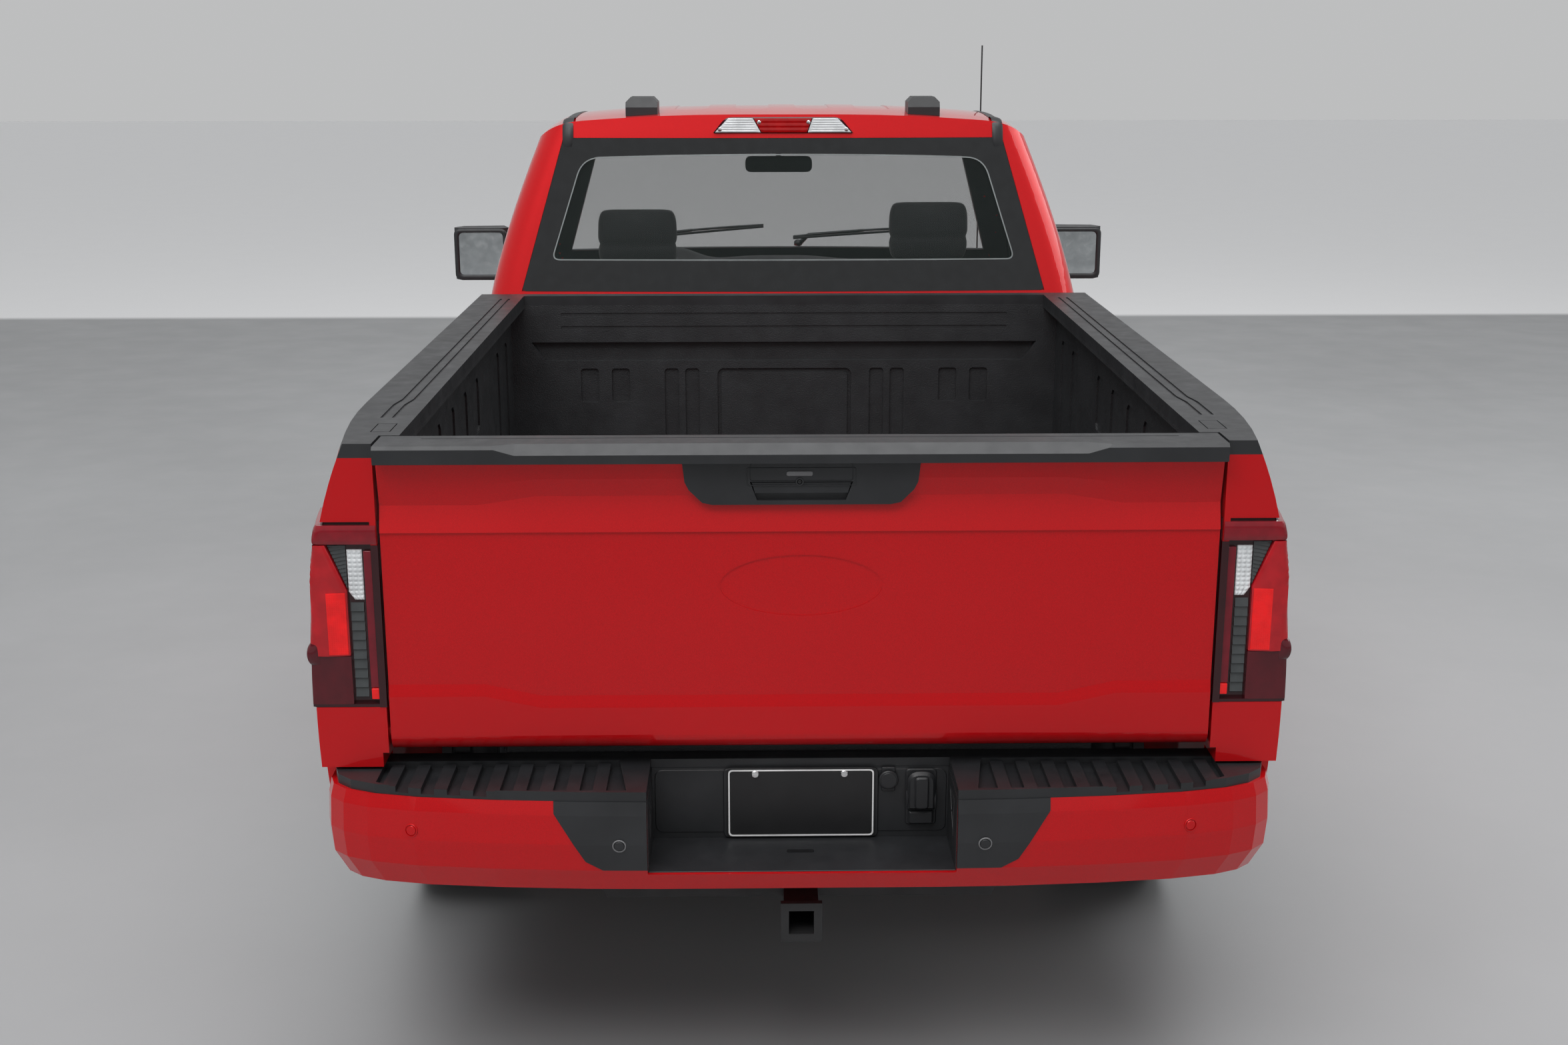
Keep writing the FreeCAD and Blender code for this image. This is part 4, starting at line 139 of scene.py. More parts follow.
def make_paint(name, colour):
    """Metallic paint under a clear coat: fine flake, faint orange peel."""
    return make_finish(name, colour, 0.16, (1400, 1), (0.34, 0.42), (3, 3), {
        "Metallic": 0.25, "Specular IOR Level": 0.1,
        "Coat Weight": 1.0, "Coat IOR": 1.36, "Coat Roughness": 0.03,
    }, ((320, 2), 0.05, 0.0004))


def make_plastic(name, colour, rough, grain, depth):
    """Moulded plastic with a fine grain."""
    span = (rough - 0.05, rough + 0.07)
    return make_finish(name, colour, 0.15, (9, 4), span, (26, 3), {}, ((grain, 3), 0.5, depth))


def make_metal(name, colour, rough, stretch=(1, 1, 1), metallic=1.0):
    return make_finish(
        name, colour, 0.12, (14, 5), (rough - 0.08, rough + 0.1), (40, 3, stretch), {"Metallic": metallic},
        ((160, 3, stretch), 0.2, 0.0003),
    )


def make_glass(name, colour, alpha):
    """Thin tinted pane, with faint dust that dulls it."""
    sockets = {"Alpha": alpha, "Specular IOR Level": 0.45}
    return make_finish(name, colour, 0.1, (2, 3), (0.02, 0.05), (5, 4), sockets)


def make_lens(name, colour, alpha=1.0):
    """Moulded lamp lens with faint vertical ribs."""
    return make_finish(name, colour, 0.12, (30, 3), (0.06, 0.11), (12, 3), {
        "Alpha": alpha, "Specular IOR Level": 0.15,
        "Coat Weight": 1.0, "Coat IOR": 1.42, "Coat Roughness": 0.02,
    }, ((60, 1, (1, 1, 0.05)), 0.25, 0.0008))


def make_fabric(name, colour):
    """Woven seat cloth."""
    material, tree, shader = new_material(name)
    mix = tree.nodes.new("ShaderNodeMath")
    mix.operation = "MULTIPLY"
    for number, axis in enumerate("XZ"):
        wave = tree.nodes.new("ShaderNodeTexWave")
        wave.bands_direction = axis
        fill(wave, {"Scale": 110, "Distortion": 0.4})
        tree.links.new(own_place(tree), wave.inputs["Vector"])
        tree.links.new(wave.outputs["Fac"], mix.inputs[number])
    weave = mix.outputs[0]
    tree.links.new(wander(tree, weave, colour, 0.35, 0.1, 0.9), shader.inputs["Base Color"])
    fill(shader, {"Roughness": 0.9, "Sheen Weight": 0.3})
    bump(tree, shader, weave, 0.5, 0.0008)
    return material


# Finishes of the record's slots: the maker and what it is given
SLOT_FINISHES = {
    "red_paint": (make_paint, (0.58, 0.003, 0.006)),
    "black_plastic": (make_plastic, (0.018, 0.019, 0.021), 0.42, 900, 0.0003),
    "bed_liner": (make_plastic, (0.024, 0.025, 0.027), 0.40, 300, 0.0022),
    "liner_plastic": (make_plastic, (0.02, 0.02, 0.02), 0.7, 300, 0.0006),
    "cabin_plastic": (make_plastic, (0.035, 0.035, 0.038), 0.6, 600, 0.0004),
    "lamp_red": (make_lens, (0.36, 0.006, 0.010)),
    "clear_lens": (make_lens, (0.62, 0.64, 0.66), 0.35),
    "clear_glass": (make_glass, (0.10, 0.14, 0.125), 0.10),
    "tinted_glass": (make_glass, (0.020, 0.028, 0.026), 0.25),
    "frame_black": (make_plastic, (0.02, 0.02, 0.021), 0.55, 200, 0.0006),
    "cast_block": (make_metal, (0.16, 0.16, 0.16), 0.6, (1, 1, 1), 0.7),
    "bare_alloy": (make_metal, (0.5, 0.5, 0.51), 0.42),
    "bare_steel": (make_metal, (0.34, 0.33, 0.31), 0.45, (1, 8, 1)),
    "tyre_rubber": (make_plastic, (0.017, 0.017, 0.018), 0.78, 240, 0.0007),
    "rim_alloy": (make_metal, (0.55, 0.56, 0.58), 0.3),
    "seat_fabric": (make_fabric, (0.03, 0.03, 0.033)),
}

# Finishes of single pieces: the record's slot, the maker and what it is given
PIECE_FINISHES = {
    "lamp_bar": ("lamp_red", make_lens, (0.24, 0.004, 0.012)),
    "lamp_dark": ("lamp_red", make_lens, (0.030, 0.002, 0.004)),
    "lamp_strip": ("lamp_red", make_lens, (0.17, 0.003, 0.012)),
    "lamp_wedge": ("lamp_red", make_lens, (0.46, 0.006, 0.012)),
    "lamp_low": ("lamp_red", make_lens, (0.085, 0.002, 0.007)),
    "lamp_bright": ("lamp_red", make_lens, (0.72, 0.005, 0.006)),
    "lamp_high": ("lamp_red", make_lens, (0.40, 0.004, 0.005)),
    "lamp_crystal": ("clear_lens", make_lens, (0.66, 0.68, 0.69)),
    "lamp_smoke": ("clear_lens", make_lens, (0.050, 0.056, 0.058)),
    "gloss_black": ("black_plastic", make_lens, (0.008, 0.008, 0.009)),
    "soft_grey": ("black_plastic", make_plastic, (0.16, 0.16, 0.165), 0.5, 500, 0.0002),
    "frit_line": ("tinted_glass", make_plastic, (0.20, 0.22, 0.22), 0.35, 500, 0.0001),
    "frit": ("tinted_glass", make_lens, (0.012, 0.013, 0.014)),
    "mirror_face": ("bare_alloy", make_metal, (0.62, 0.65, 0.66), 0.12),
    "bright_screw": ("bare_steel", make_metal, (0.72, 0.72, 0.72), 0.22),
    "clear_cover": ("clear_lens", make_glass, (0.75, 0.78, 0.80), 0.16),
    "amber_lens": ("clear_lens", make_lens, (0.60, 0.17, 0.01)),
    "plate_face": ("black_plastic", make_plastic, (0.012, 0.012, 0.013), 0.38, 700, 0.0001),
    "plate_line": ("black_plastic", make_plastic, (0.90, 0.90, 0.90), 0.35, 500, 0.0001),
}

# Painted light: faint glows on unlit lamp parts that stand in for light caught in a reflector
PAINTED_GLOWS = {"lamp_bright": ((1.0, 0.01, 0.01, 1), 0.16), "lamp_crystal": ((0.9, 0.95, 1.0, 1), 0.05)}

looks = {slot: (maker(slot, *values), slot) for slot, (maker, *values) in SLOT_FINISHES.items()}
for look, (slot, maker, *values) in PIECE_FINISHES.items():
    looks[look] = (maker(look, *values), slot)
for look, (colour, strength) in PAINTED_GLOWS.items():
    shader = looks[look][0].node_tree.nodes["Principled BSDF"]
    fill(shader, {"Emission Color": colour, "Emission Strength": strength})
slot_of = {row["node"]: row["material_slot"] for row in frame["record"]["subparts"]}
for name, thing in nodes.items():
    thing.data.materials.clear()
    thing.data.materials.append(looks[slot_of[name]][0])

# Radius of a turned profile where it meets its axis
TIP = 0.0001


# Shapes
class Form:
    """The surface of one piece, gathered from closed parts."""

    def __init__(self):
        self.points = []
        self.faces = []

    def add(self, points, faces):
        base = len(self.points)
        self.points.extend(tuple(p) for p in points)
        self.faces.extend(tuple(base + i for i in face) for face in faces)

    def rings(self, rings, wrap=False):
        """Closed outlines joined in order, and capped unless they wrap round."""
        count, total = len(rings[0]), len(rings)
        faces = []
        for r in range(total if wrap else total - 1):
            n = (r + 1) % total
            for i in range(count):
                j = (i + 1) % count
                faces.append((r * count + i, r * count + j, n * count + j, n * count + i))
        if not wrap:
            faces.append(tuple(reversed(range(count))))
            faces.append(tuple((total - 1) * count + i for i in range(count)))
        self.add([p for ring in rings for p in ring], faces)

    def layer(self, rows, columns, at):
        """A closed layer: at(row, column) gives a point of its face and the one behind it."""
        pairs = [at(r, c) for r in range(rows + 1) for c in range(columns + 1)]
        width, half = columns + 1, len(pairs)
        faces = []
        for r in range(rows):
            for c in range(columns):
                a = r * width + c
                quad = (a, a + 1, a + 1 + width, a + width)
                faces.append(quad)
                faces.append(tuple(half + i for i in reversed(quad)))
        border = list(range(width))
        border += [r * width + columns for r in range(1, rows + 1)]
        border += [rows * width + c for c in range(columns - 1, -1, -1)]
        border += [r * width for r in range(rows - 1, 0, -1)]
        for a, b in zip(border, border[1:] + border[:1]):
            faces.append((b, a, half + a, half + b))
        self.add([pair[0] for pair in pairs] + [pair[1] for pair in pairs], faces)

    def prism(self, outline, near, far, place, chamfer=0.0):
        """An outline pushed from near to far, its near edge chamfered."""
        step = chamfer if far > near else -chamfer
        rings = [placed(outline, place, near + step), placed(outline, place, far)]
        if chamfer:
            rings.insert(0, placed(inset(outline, chamfer), place, near))
        self.rings(rings)

    def ring_prism(self, outer, inner, near, far, place, chamfer=0.0):
        """A flat ring between two outlines of as many points."""
        step = chamfer if far > near else -chamfer
        rings = [placed(outer, place, far), placed(outer, place, near + step)]
        if chamfer:
            rings.append(placed(inset(outer, chamfer), place, near))
            rings.append(placed(inset(inner, -chamfer), place, near))
        rings += [placed(inner, place, near + step), placed(inner, place, far)]
        self.rings(rings, wrap=True)

    def tube(self, path, radius, sides=8):
        """A round bar along a path, of one radius or one for each point."""
        path = [Vector(p) for p in path]
        sizes = radius if isinstance(radius, (list, tuple)) else [radius] * len(path)
        side = (path[1] - path[0]).orthogonal()
        rings = []
        for i, (p, size) in enumerate(zip(path, sizes)):
            along = (path[min(i + 1, len(path) - 1)] - path[max(i - 1, 0)]).normalized()
            side = (side - along * side.dot(along)).normalized()
            rings.append(circle(p, side, along.cross(side), size, sides))
        self.rings(rings)

    def turn(self, profile, origin, axis, steps=24, wrap=False):
        """A profile of (radius, distance along the axis) turned round it."""
        axis = Vector(axis).normalized()
        side = axis.orthogonal().normalized()
        up = axis.cross(side)
        origin = Vector(origin)
        rings = [circle(origin + axis * along, side, up, radius, steps) for radius, along in profile]
        self.rings(rings, wrap)

    def disc(self, centre, axis, radius, height, edge=0.001, steps=24):
        """A low round plate with a softened edge."""
        top = ((radius, height - edge), (radius - edge, height), (TIP, height + edge / 2))
        self.turn(((TIP, 0), (radius, 0), *top), centre, axis, steps)


def placed(outline, place, w):
    return [place(u, v, w) for u, v in outline]


def circle(centre, side, up, radius, count):
    angles = [math.tau * k / count for k in range(count)]
    return [centre + (side * math.cos(a) + up * math.sin(a)) * radius for a in angles]


def between(a, b, share):
    return a + (b - a) * share


def spread(low, high, count):
    return [between(low, high, i / count) for i in range(count + 1)]


def triples(outline):
    """Each corner with its neighbours."""
    points = [Vector(p) for p in outline]
    return zip(points[-1:] + points[:-1], points, points[1:] + points[:1])


def inset(outline, amount):
    """The outline moved inward by an amount."""
    if not amount:
        return list(outline)
    area = sum(a.x * b.y - b.x * a.y for a, b, _ in triples(outline))
    turn = 1 if area > 0 else -1
    result = []
    for a, b, c in triples(outline):
        before, after = (b - a).normalized(), (c - b).normalized()
        normal = (Vector((-before.y, before.x)) + Vector((-after.y, after.x))) * turn
        moved = b + normal.normalized() * amount / max(normal.length / 2, 0.4)
        result.append((moved.x, moved.y))
    return result


def rounded(a, b, c, radius_in, radius_out, shares):
    """Points of the curve that rounds the corner b between a and c."""
    start = b + (a - b).normalized() * radius_in
    end = b + (c - b).normalized() * radius_out
    return [start * (1 - t) ** 2 + b * 2 * t * (1 - t) + end * t * t for t in shares]


def soften(corners, radii, steps=4):
    """The polygon with its corners rounded."""
    if not isinstance(radii, (list, tuple)):
        radii = [radii] * len(corners)
    result = []
    for (a, b, c), radius in zip(triples(corners), radii):
        result += [(p.x, p.y) for p in rounded(a, b, c, radius, radius, spread(0, 1, steps))]
    return result


def rectangle(left, right, low, high, radius=0.0, steps=4):
    corners = [(left, low), (right, low), (right, high), (left, high)]
    return soften(corners, radius, steps) if radius else corners


def from_behind(u, v, w):
    """Across, up, and depth ahead."""
    return (u, w, v)


def from_above(u, v, w):
    """Across, ahead, and height."""
    return (u, v, w)


def gather(*names):
    """A tree for rays on some nodes, and which node's face each of its faces is."""
    points, faces, owners = [], [], []
    for name in names:
        mesh = nodes[name].data
        base = len(points)
        points += [v.co[:] for v in mesh.vertices]
        faces += [tuple(base + i for i in p.vertices) for p in mesh.polygons]
        owners += [(name, p.index) for p in mesh.polygons]
    return BVHTree.FromPolygons(points, faces), owners


def tree_of(*names):
    return gather(*names)[0]


def mesh_of(form, name):
    mesh = bpy.data.meshes.new(name)
    mesh.from_pydata(form.points, [], form.faces)
    work = bmesh.new()
    work.from_mesh(mesh)
    bmesh.ops.recalc_face_normals(work, faces=work.faces)
    work.to_mesh(mesh)
    work.free()
    return mesh


def dress(mesh, name, look, body, replaces=()):
    """An object of that mesh, with its finish, on its body."""
    thing = bpy.data.objects.new(name, mesh)
    bpy.context.scene.collection.objects.link(thing)
    material, slot = looks[look]
    mesh.materials.append(material)
    mesh.polygons.foreach_set("use_smooth", [True] * len(mesh.polygons))
    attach(thing, body)
    if replaces:
        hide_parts(*replaces)
    return thing


def make_piece(form, name, look, body="chassis", replaces=(), bevel=0.0, crease=35):
    mesh = mesh_of(form, name)
    thing = dress(mesh, name, look, body, replaces)
    mesh.set_sharp_from_angle(angle=math.radians(crease))
    if bevel:
        edge = thing.modifiers.new("edge", "BEVEL")
        edge.width = bevel
        edge.segments = 2
        edge.angle_limit = math.radians(30)


def add_panels(form, face, rows):
    """Flat parts that face the rear: sides, corner radius, how far near and far stand off, chamfer."""
    for left, right, low, high, radius, near, far, chamfer in rows:
        form.prism(rectangle(left, right, low, high, radius), face - near, face - far, from_behind, chamfer)


def panel_piece(name, look, face, rows, body="chassis"):
    form = Form()
    add_panels(form, face, rows)
    make_piece(form, name, look, body)


# Tail lamps: heights, and lengths s along the face from the inner edge
LAMP_LOW, LAMP_HIGH = 0.8685, 1.2485
LAMP_PIVOT, LAMP_START = (0.80, -2.36), (0.8238, -2.5202)
LAMP_RAYS = 36
BAR_LOW, BAR_MIDDLE, BAR_HIGH = 1.205, 1.224, 1.243
STRIP_LEFT = 0.0152
CRYSTAL_LOW, CRYSTAL_HIGH = 1.090, 1.192
LOUVRE_LOW, LOUVRE_STEP, LOUVRE_COUNT = 0.886, 0.0198, 10
WEDGE_INNER, WEDGE_LOW, WEDGE_TURN, WEDGE_HIGH = 0.0672, 0.976, 1.110, 1.203
CROWN_AT, CROWN_RISE, CROWN_REACH = 0.112, 0.0045, 0.045
REFLECTOR_LOW, REFLECTOR_HIGH = 0.979, 1.106
NUB_LOW, NUB_RISE = 0.958, 0.044
lamp_tree = tree_of("tail_lamps")
lamp_tracks = {}


def lamp_track(z):
    """Outer line of the lamp at a height, from the tailgate round to its side."""
    level = round(min(max(z, LAMP_LOW + 0.002), LAMP_HIGH - 0.003), 3)
    if level not in lamp_tracks:
        pivot = Vector((*LAMP_PIVOT, level))
        track = [Vector(LAMP_START)]
        for angle in spread(math.radians(16), math.radians(86), LAMP_RAYS):
            out = Vector((math.sin(angle), -math.cos(angle), 0))
            hit = lamp_tree.ray_cast(pivot + out, -out)[0]
            if hit is not None and hit.x > track[-1].x - 0.02:
                track.append(Vector((hit.x, hit.y)))
        lengths = [0.0]
        for a, b in zip(track, track[1:]):
            lengths.append(lengths[-1] + (b - a).length)
        lamp_tracks[level] = (track, lengths)
    return lamp_tracks[level]


def along_track(track, lengths, s):
    s = min(max(s, 0.0), lengths[-1])
    for i in range(1, len(lengths)):
        if s <= lengths[i]:
            share = (s - lengths[i - 1]) / max(lengths[i] - lengths[i - 1], 1e-9)
            return track[i - 1].lerp(track[i], share)
    return track[-1]


def lamp_at(side, s, z, proud):
    """Point on the lamp's face, or as far proud of it."""
    track, lengths = lamp_track(z)
    run = along_track(track, lengths, s + 0.004) - along_track(track, lengths, s - 0.004)
    here = along_track(track, lengths, s) + Vector((run.y, -run.x)).normalized() * proud
    return (side * here.x, here.y, z)


def lamp_end(z):
    return lamp_track(z)[1][-1]


def lamp_layer(form, levels, left, right, proud, depth, columns, relief=None):
    """A closed layer on both lamps, its face shaped by a relief."""
    for side in (-1, 1):
        def at(row, column, side=side):
            z, u = levels[row], column / columns
            start = left(z) if callable(left) else left
            end = right(z) if callable(right) else right
            s = between(start, end, u)
            lift = relief(u, z, s) if relief else 0.0
            return lamp_at(side, s, z, proud + lift), lamp_at(side, s, z, proud - depth)
        form.layer(len(levels) - 1, columns, at)


def lamp_piece(name, look, layers, replaces=(), bevel=0.0, crease=35):
    form = Form()
    for layer in layers:
        lamp_layer(form, *layer)
    make_piece(form, name, look, "chassis", replaces, bevel, crease)


def waves(share, count):
    """Rises and falls of one, so many over the length."""
    return abs(math.sin(share * math.pi * count))


def wedge_edge(z):
    """Inner edge of the raised red wedge."""
    return WEDGE_INNER + max(0.0, z - WEDGE_TURN) * 0.40


def crystal_right(z):
    return 0.0640 - max(0.0, 1.106 - z) * 0.7


def louvre_right(z):
    return max(wedge_edge(z) - 0.002, 0.0665)


def bar_face(u, z, s):
    return 0.003 - 0.003 * ((z - BAR_MIDDLE) / 0.019) ** 4


def facets(u, z, s):
    return 0.0024 * waves(u, 3) * waves((z - CRYSTAL_LOW) / (CRYSTAL_HIGH - CRYSTAL_LOW), 11)


def louvre(u, z, s):
    share = ((z - LOUVRE_LOW) / LOUVRE_STEP) % 1.0
    return 0.0045 * (1 - share) if share > 0.12 else 0.0045 * share / 0.12


def fine_louvre(u, z, s):
    return 0.0022 * (1 - ((z + s * 0.2) / 0.008) % 1.0)


def crown(s):
    return CROWN_RISE * max(0.0, 1 - abs(s - CROWN_AT) / CROWN_REACH)


def wedge_face(u, z, s):
    lead = min(1.0, (s - wedge_edge(z)) / 0.003)
    return crown(s) - 0.002 * (1 - lead)


def reflector_cells(u, z, s):
    share = (z - REFLECTOR_LOW) / (REFLECTOR_HIGH - REFLECTOR_LOW)
    return crown(s) + 0.0010 * waves(u, 9) * waves(share, 30)


def lower_face(u, z, s):
    return -0.002 * max(0.0, 1 - (s - 0.066) / 0.003)


def nub(u, z, s):
    rise = math.sin(u * math.pi) * math.sin((z - NUB_LOW) / NUB_RISE * math.pi)
    return 0.009 * max(rise, 0.0) ** 0.7


def build_tail_lamps():
    lamp_piece("tail_lamp_housing", "lamp_dark", (
        (spread(LAMP_LOW, LAMP_HIGH, 10), 0.0, lamp_end, -0.013, 0.016, 26),
        (spread(LAMP_LOW, WEDGE_HIGH, 10), 0.0004, 0.0146, 0.0016, 0.0155, 2),
        (spread(LAMP_LOW, 0.8745, 1), 0.010, lamp_end, -0.001, 0.013, 22),
    ), ("tail_lamps",), crease=40)
    lamp_piece("tail_lamp_bar", "lamp_bar", (
        (spread(BAR_LOW, BAR_HIGH, 8), 0.003, lamp_end, 0.001, 0.014, 30, bar_face),
    ), crease=50)
    lamp_piece("tail_lamp_strip", "lamp_strip", (
        (spread(0.908, 1.190, 8), STRIP_LEFT, 0.0308, -0.004, 0.009, 3),
    ), bevel=0.001)
    lamp_piece("tail_lamp_foot", "lamp_bright", (
        (spread(0.884, 0.906, 2), STRIP_LEFT, 0.0302, -0.003, 0.009, 3),
    ), bevel=0.001)
    lamp_piece("tail_lamp_reverse_lens", "lamp_crystal", (
        (spread(CRYSTAL_LOW, CRYSTAL_HIGH, 66), 0.0345, crystal_right, -0.009, 0.005, 18, facets),
    ), crease=60)
    steps = []
    for rib in range(LOUVRE_COUNT):
        start = LOUVRE_LOW + rib * LOUVRE_STEP
        steps += [start + 0.0002, start + 0.0024, start + 0.0110, start + 0.0196]
    lamp_piece("tail_lamp_louvres", "lamp_smoke", (
        (steps, 0.0365, 0.0620, -0.011, 0.004, 2, louvre),
        (spread(1.112, 1.200, 88), 0.0662, louvre_right, -0.010, 0.004, 6, fine_louvre),
    ), crease=25)
    wedge_levels = spread(WEDGE_LOW, WEDGE_TURN, 8) + spread(WEDGE_TURN + 0.004, WEDGE_HIGH, 12)
    lamp_piece("tail_lamp_wedge", "lamp_wedge", (
        (wedge_levels, wedge_edge, lamp_end, -0.001, 0.012, 40, wedge_face),
    ), crease=40)
    lamp_piece("tail_lamp_reflector", "lamp_bright", (
        (spread(REFLECTOR_LOW, REFLECTOR_HIGH, 90), 0.0700, 0.1075, 0.0002, 0.006, 27, reflector_cells),
    ), crease=60)
    lamp_piece("tail_lamp_lower_lens", "lamp_low", (
        (spread(0.8745, 0.9745, 6), 0.0665, lamp_end, -0.001, 0.012, 30, lower_face),
        (spread(NUB_LOW, NUB_LOW + NUB_RISE, 12), 0.128, 0.172, -0.0005, 0.010, 12, nub),
    ), crease=40)


build_tail_lamps()

# Plate, sockets and sensors in the rear bumper
NICHE_BACK, NICHE_FRONT = -2.475, -2.6360
NICHE_HALF, NICHE_ROOF = 0.3040, 0.7165
LINER = 0.0016
SOCKET_X, SOCKET_Z = 0.180, 0.6910
SENSORS = ((0.3592, 0.6262, "black_plastic"), (0.7706, 0.6470, "red_paint"))
SENSOR_RIM = ((0.0138, 0.0001), (0.0138, 0.0008), (0.0130, 0.0020), (0.0116, 0.0020), (0.0108, 0.0001))


def build_niche():
    liner = Form()
    inner = NICHE_BACK - 0.0019
    add_panels(liner, NICHE_BACK, ((-NICHE_HALF, NICHE_HALF, 0.5605, NICHE_ROOF, 0, 0.0018, 0.0001, 0),))
    floor = rectangle(-NICHE_HALF, NICHE_HALF, NICHE_FRONT, inner)
    liner.prism(floor, 0.5602 + LINER, 0.5602, from_above, 0.0006)
    for x in (-NICHE_HALF - LINER / 2, NICHE_HALF - LINER / 2):
        liner.prism(rectangle(x, x + LINER, NICHE_FRONT, inner), NICHE_ROOF, 0.5619, from_above)
    make_piece(liner, "niche_liner", "black_plastic")
    panel_piece("plate_backing", "black_plastic", NICHE_BACK, (
        (-0.298, 0.300, 0.574, 0.712, 0.018, 0.0035, 0.0003, 0.0015),
        (-0.158, 0.160, 0.5635, 0.7155, 0.012, 0.0075, 0.0003, 0.002),
    ))


def build_plate():
    panel_piece("plate_blank", "plate_face", NICHE_BACK, (
        (-0.1512, 0.1536, 0.5655, 0.7175, 0.010, 0.0095, 0.0080, 0.0004),
    ))
    line = Form()
    line.ring_prism(
        rectangle(-0.1476, 0.1500, 0.5680, 0.7140, 0.009), rectangle(-0.1446, 0.1470, 0.5710, 0.7110, 0.007),
        NICHE_BACK - 0.0103, NICHE_BACK - 0.0097, from_behind,
    )
    make_piece(line, "plate_line", "plate_line")
    screws = Form()
    for x in (-0.0925, 0.0895):
        screws.disc((x, NICHE_BACK - 0.0100, 0.7050), -AHEAD, 0.0078, 0.0035, 0.0014)
        add_panels(screws, NICHE_BACK, ((x - 0.006, x + 0.006, 0.7042, 0.7058, 0, 0.0147, 0.0136, 0),))
    make_piece(screws, "plate_screws", "bright_screw")


def build_sockets():
    sockets = Form()
    add_panels(sockets, NICHE_BACK, (
        (0.166, 0.194, 0.664, 0.717, 0.004, 0.008, 0.0040, 0.0015),
        (0.2150, 0.2790, 0.5900, 0.7130, 0.010, 0.008, 0.0040, 0.002),
        (0.2330, 0.2615, 0.6330, 0.7020, 0.008, 0.030, 0.0245, 0.003),
        (0.2215, 0.2730, 0.5940, 0.6235, 0.006, 0.017, 0.0082, 0.004),
    ))
    for off, radius, height, edge in ((0.008, 0.0202, 0.007, 0.002), (0.0152, 0.0165, 0.0015, 0.0008)):
        sockets.disc((SOCKET_X, NICHE_BACK - off, SOCKET_Z), -AHEAD, radius, height, edge, 32)
    cover = [(0.2180, 0.6270), (0.2765, 0.6270), (0.2765, 0.7110), (0.2180, 0.7110)]
    cover = soften(cover, [0.005, 0.005, 0.026, 0.026], 6)
    sockets.prism(cover, NICHE_BACK - 0.024, NICHE_BACK - 0.0082, from_behind, 0.006)
    for x in (0.2185, 0.2760):
        path = [(x, NICHE_BACK - off, z) for off, z in ((0.016, 0.630), (0.020, 0.650), (0.014, 0.668))]
        sockets.tube(path, 0.0028)
    make_piece(sockets, "socket_covers", "black_plastic")
    slot = Form()
    slot.prism(rectangle(-0.0290, 0.0262, -2.5515, -2.5395, 0.005), 0.5630, 0.5618, from_above)
    make_piece(slot, "shelf_drain", "gloss_black")
    braces = Form()
    for side in (-1, 1):
        x = side * NICHE_HALF
        corners = [(x, -2.590, 0.694), (x, -2.520, 0.690), (x, -2.585, 0.612)]
        for i in range(3):
            braces.tube([corners[i], corners[(i + 1) % 3]], 0.0022, 6)
        braces.tube([corners[0], (x, -2.545, 0.640)], 0.0018, 6)
    make_piece(braces, "niche_braces", "black_plastic")


def build_sensors():
    bumper_tree = tree_of("rear_bumper", "step_pads")
    rims, faces = ({look: Form() for _, _, look in SENSORS} for _ in range(2))
    for x, z, look in SENSORS:
        for side in (-1, 1):
            place, normal, _, _ = bumper_tree.ray_cast(Vector((side * x, -4, z)), AHEAD)
            normal = normal if normal.y < 0 else -normal
            rims[look].turn(SENSOR_RIM, place, normal, 28, wrap=True)
            faces[look].disc(place + normal * 0.0001, normal, 0.0098, 0.0022, 0.0010, 28)
    make_piece(rims["red_paint"], "sensor_rims_red", "red_paint")
    make_piece(rims["black_plastic"], "sensor_rims_black", "soft_grey")
    make_piece(faces["red_paint"], "sensor_faces_red", "red_paint")
    make_piece(faces["black_plastic"], "sensor_faces_black", "black_plastic")


build_niche()
build_plate()
build_sockets()
build_sensors()

# Tailgate handle fittings
HANDLE_FACE = -2.5246
HANDLE_EYE = (-0.0036, HANDLE_FACE, 1.3280)
EYE_RIM = ((0.0078, 0), (0.0078, 0.0022), (0.0052, 0.0022), (0.0052, 0))


def build_tailgate_fittings():
    cover = Form()
    cover.ring_prism(
        rectangle(-0.1065, 0.1060, 1.3200, 1.3560, 0.004), rectangle(-0.1045, 0.1040, 1.3218, 1.3542, 0.003),
        HANDLE_FACE - 0.0010, HANDLE_FACE + 0.0003, from_behind, 0.0004,
    )
    make_piece(cover, "handle_cover_edge", "black_plastic", "tailgate_body")
    panel_piece("handle_window", "soft_grey", HANDLE_FACE, (
        (-0.0290, 0.0218, 1.3395, 1.3485, 0.0035, 0.0016, 0.0, 0.0006),
    ), "tailgate_body")
    rim = Form()
    rim.turn(EYE_RIM, HANDLE_EYE, -AHEAD, 28, wrap=True)
    make_piece(rim, "camera_rim", "black_plastic", "tailgate_body")
    eye = Form()
    eye.disc(HANDLE_EYE, -AHEAD, 0.0049, 0.0018, 0.0012)
    make_piece(eye, "camera_eye", "gloss_black", "tailgate_body")


build_tailgate_fittings()

# Rear window border
PANE_MIDDLE = 1.62
BORDER_PROUD, BORDER_THICK, BORDER_ROWS = 0.0012, 0.0009, 5
LOOP_CORNER_STEPS, LOOP_SIDE_STEPS = 8, 60
glass_tree = tree_of("rear_window")


def glass_hit(x, z, share):
    """Where the pane is met, at a point drawn towards the pane's middle by a share."""
    spot = Vector((x * share, -2, PANE_MIDDLE + (z - PANE_MIDDLE) * share))
    return glass_tree.ray_cast(spot, AHEAD)[0]


def on_glass(x, z, proud):
    share = 1.0
    hit = glass_hit(x, z, share)
    while hit is None and share > 0.8:
        share -= 0.004
        hit = glass_hit(x, z, share)
    return (x, hit.y - proud, z)


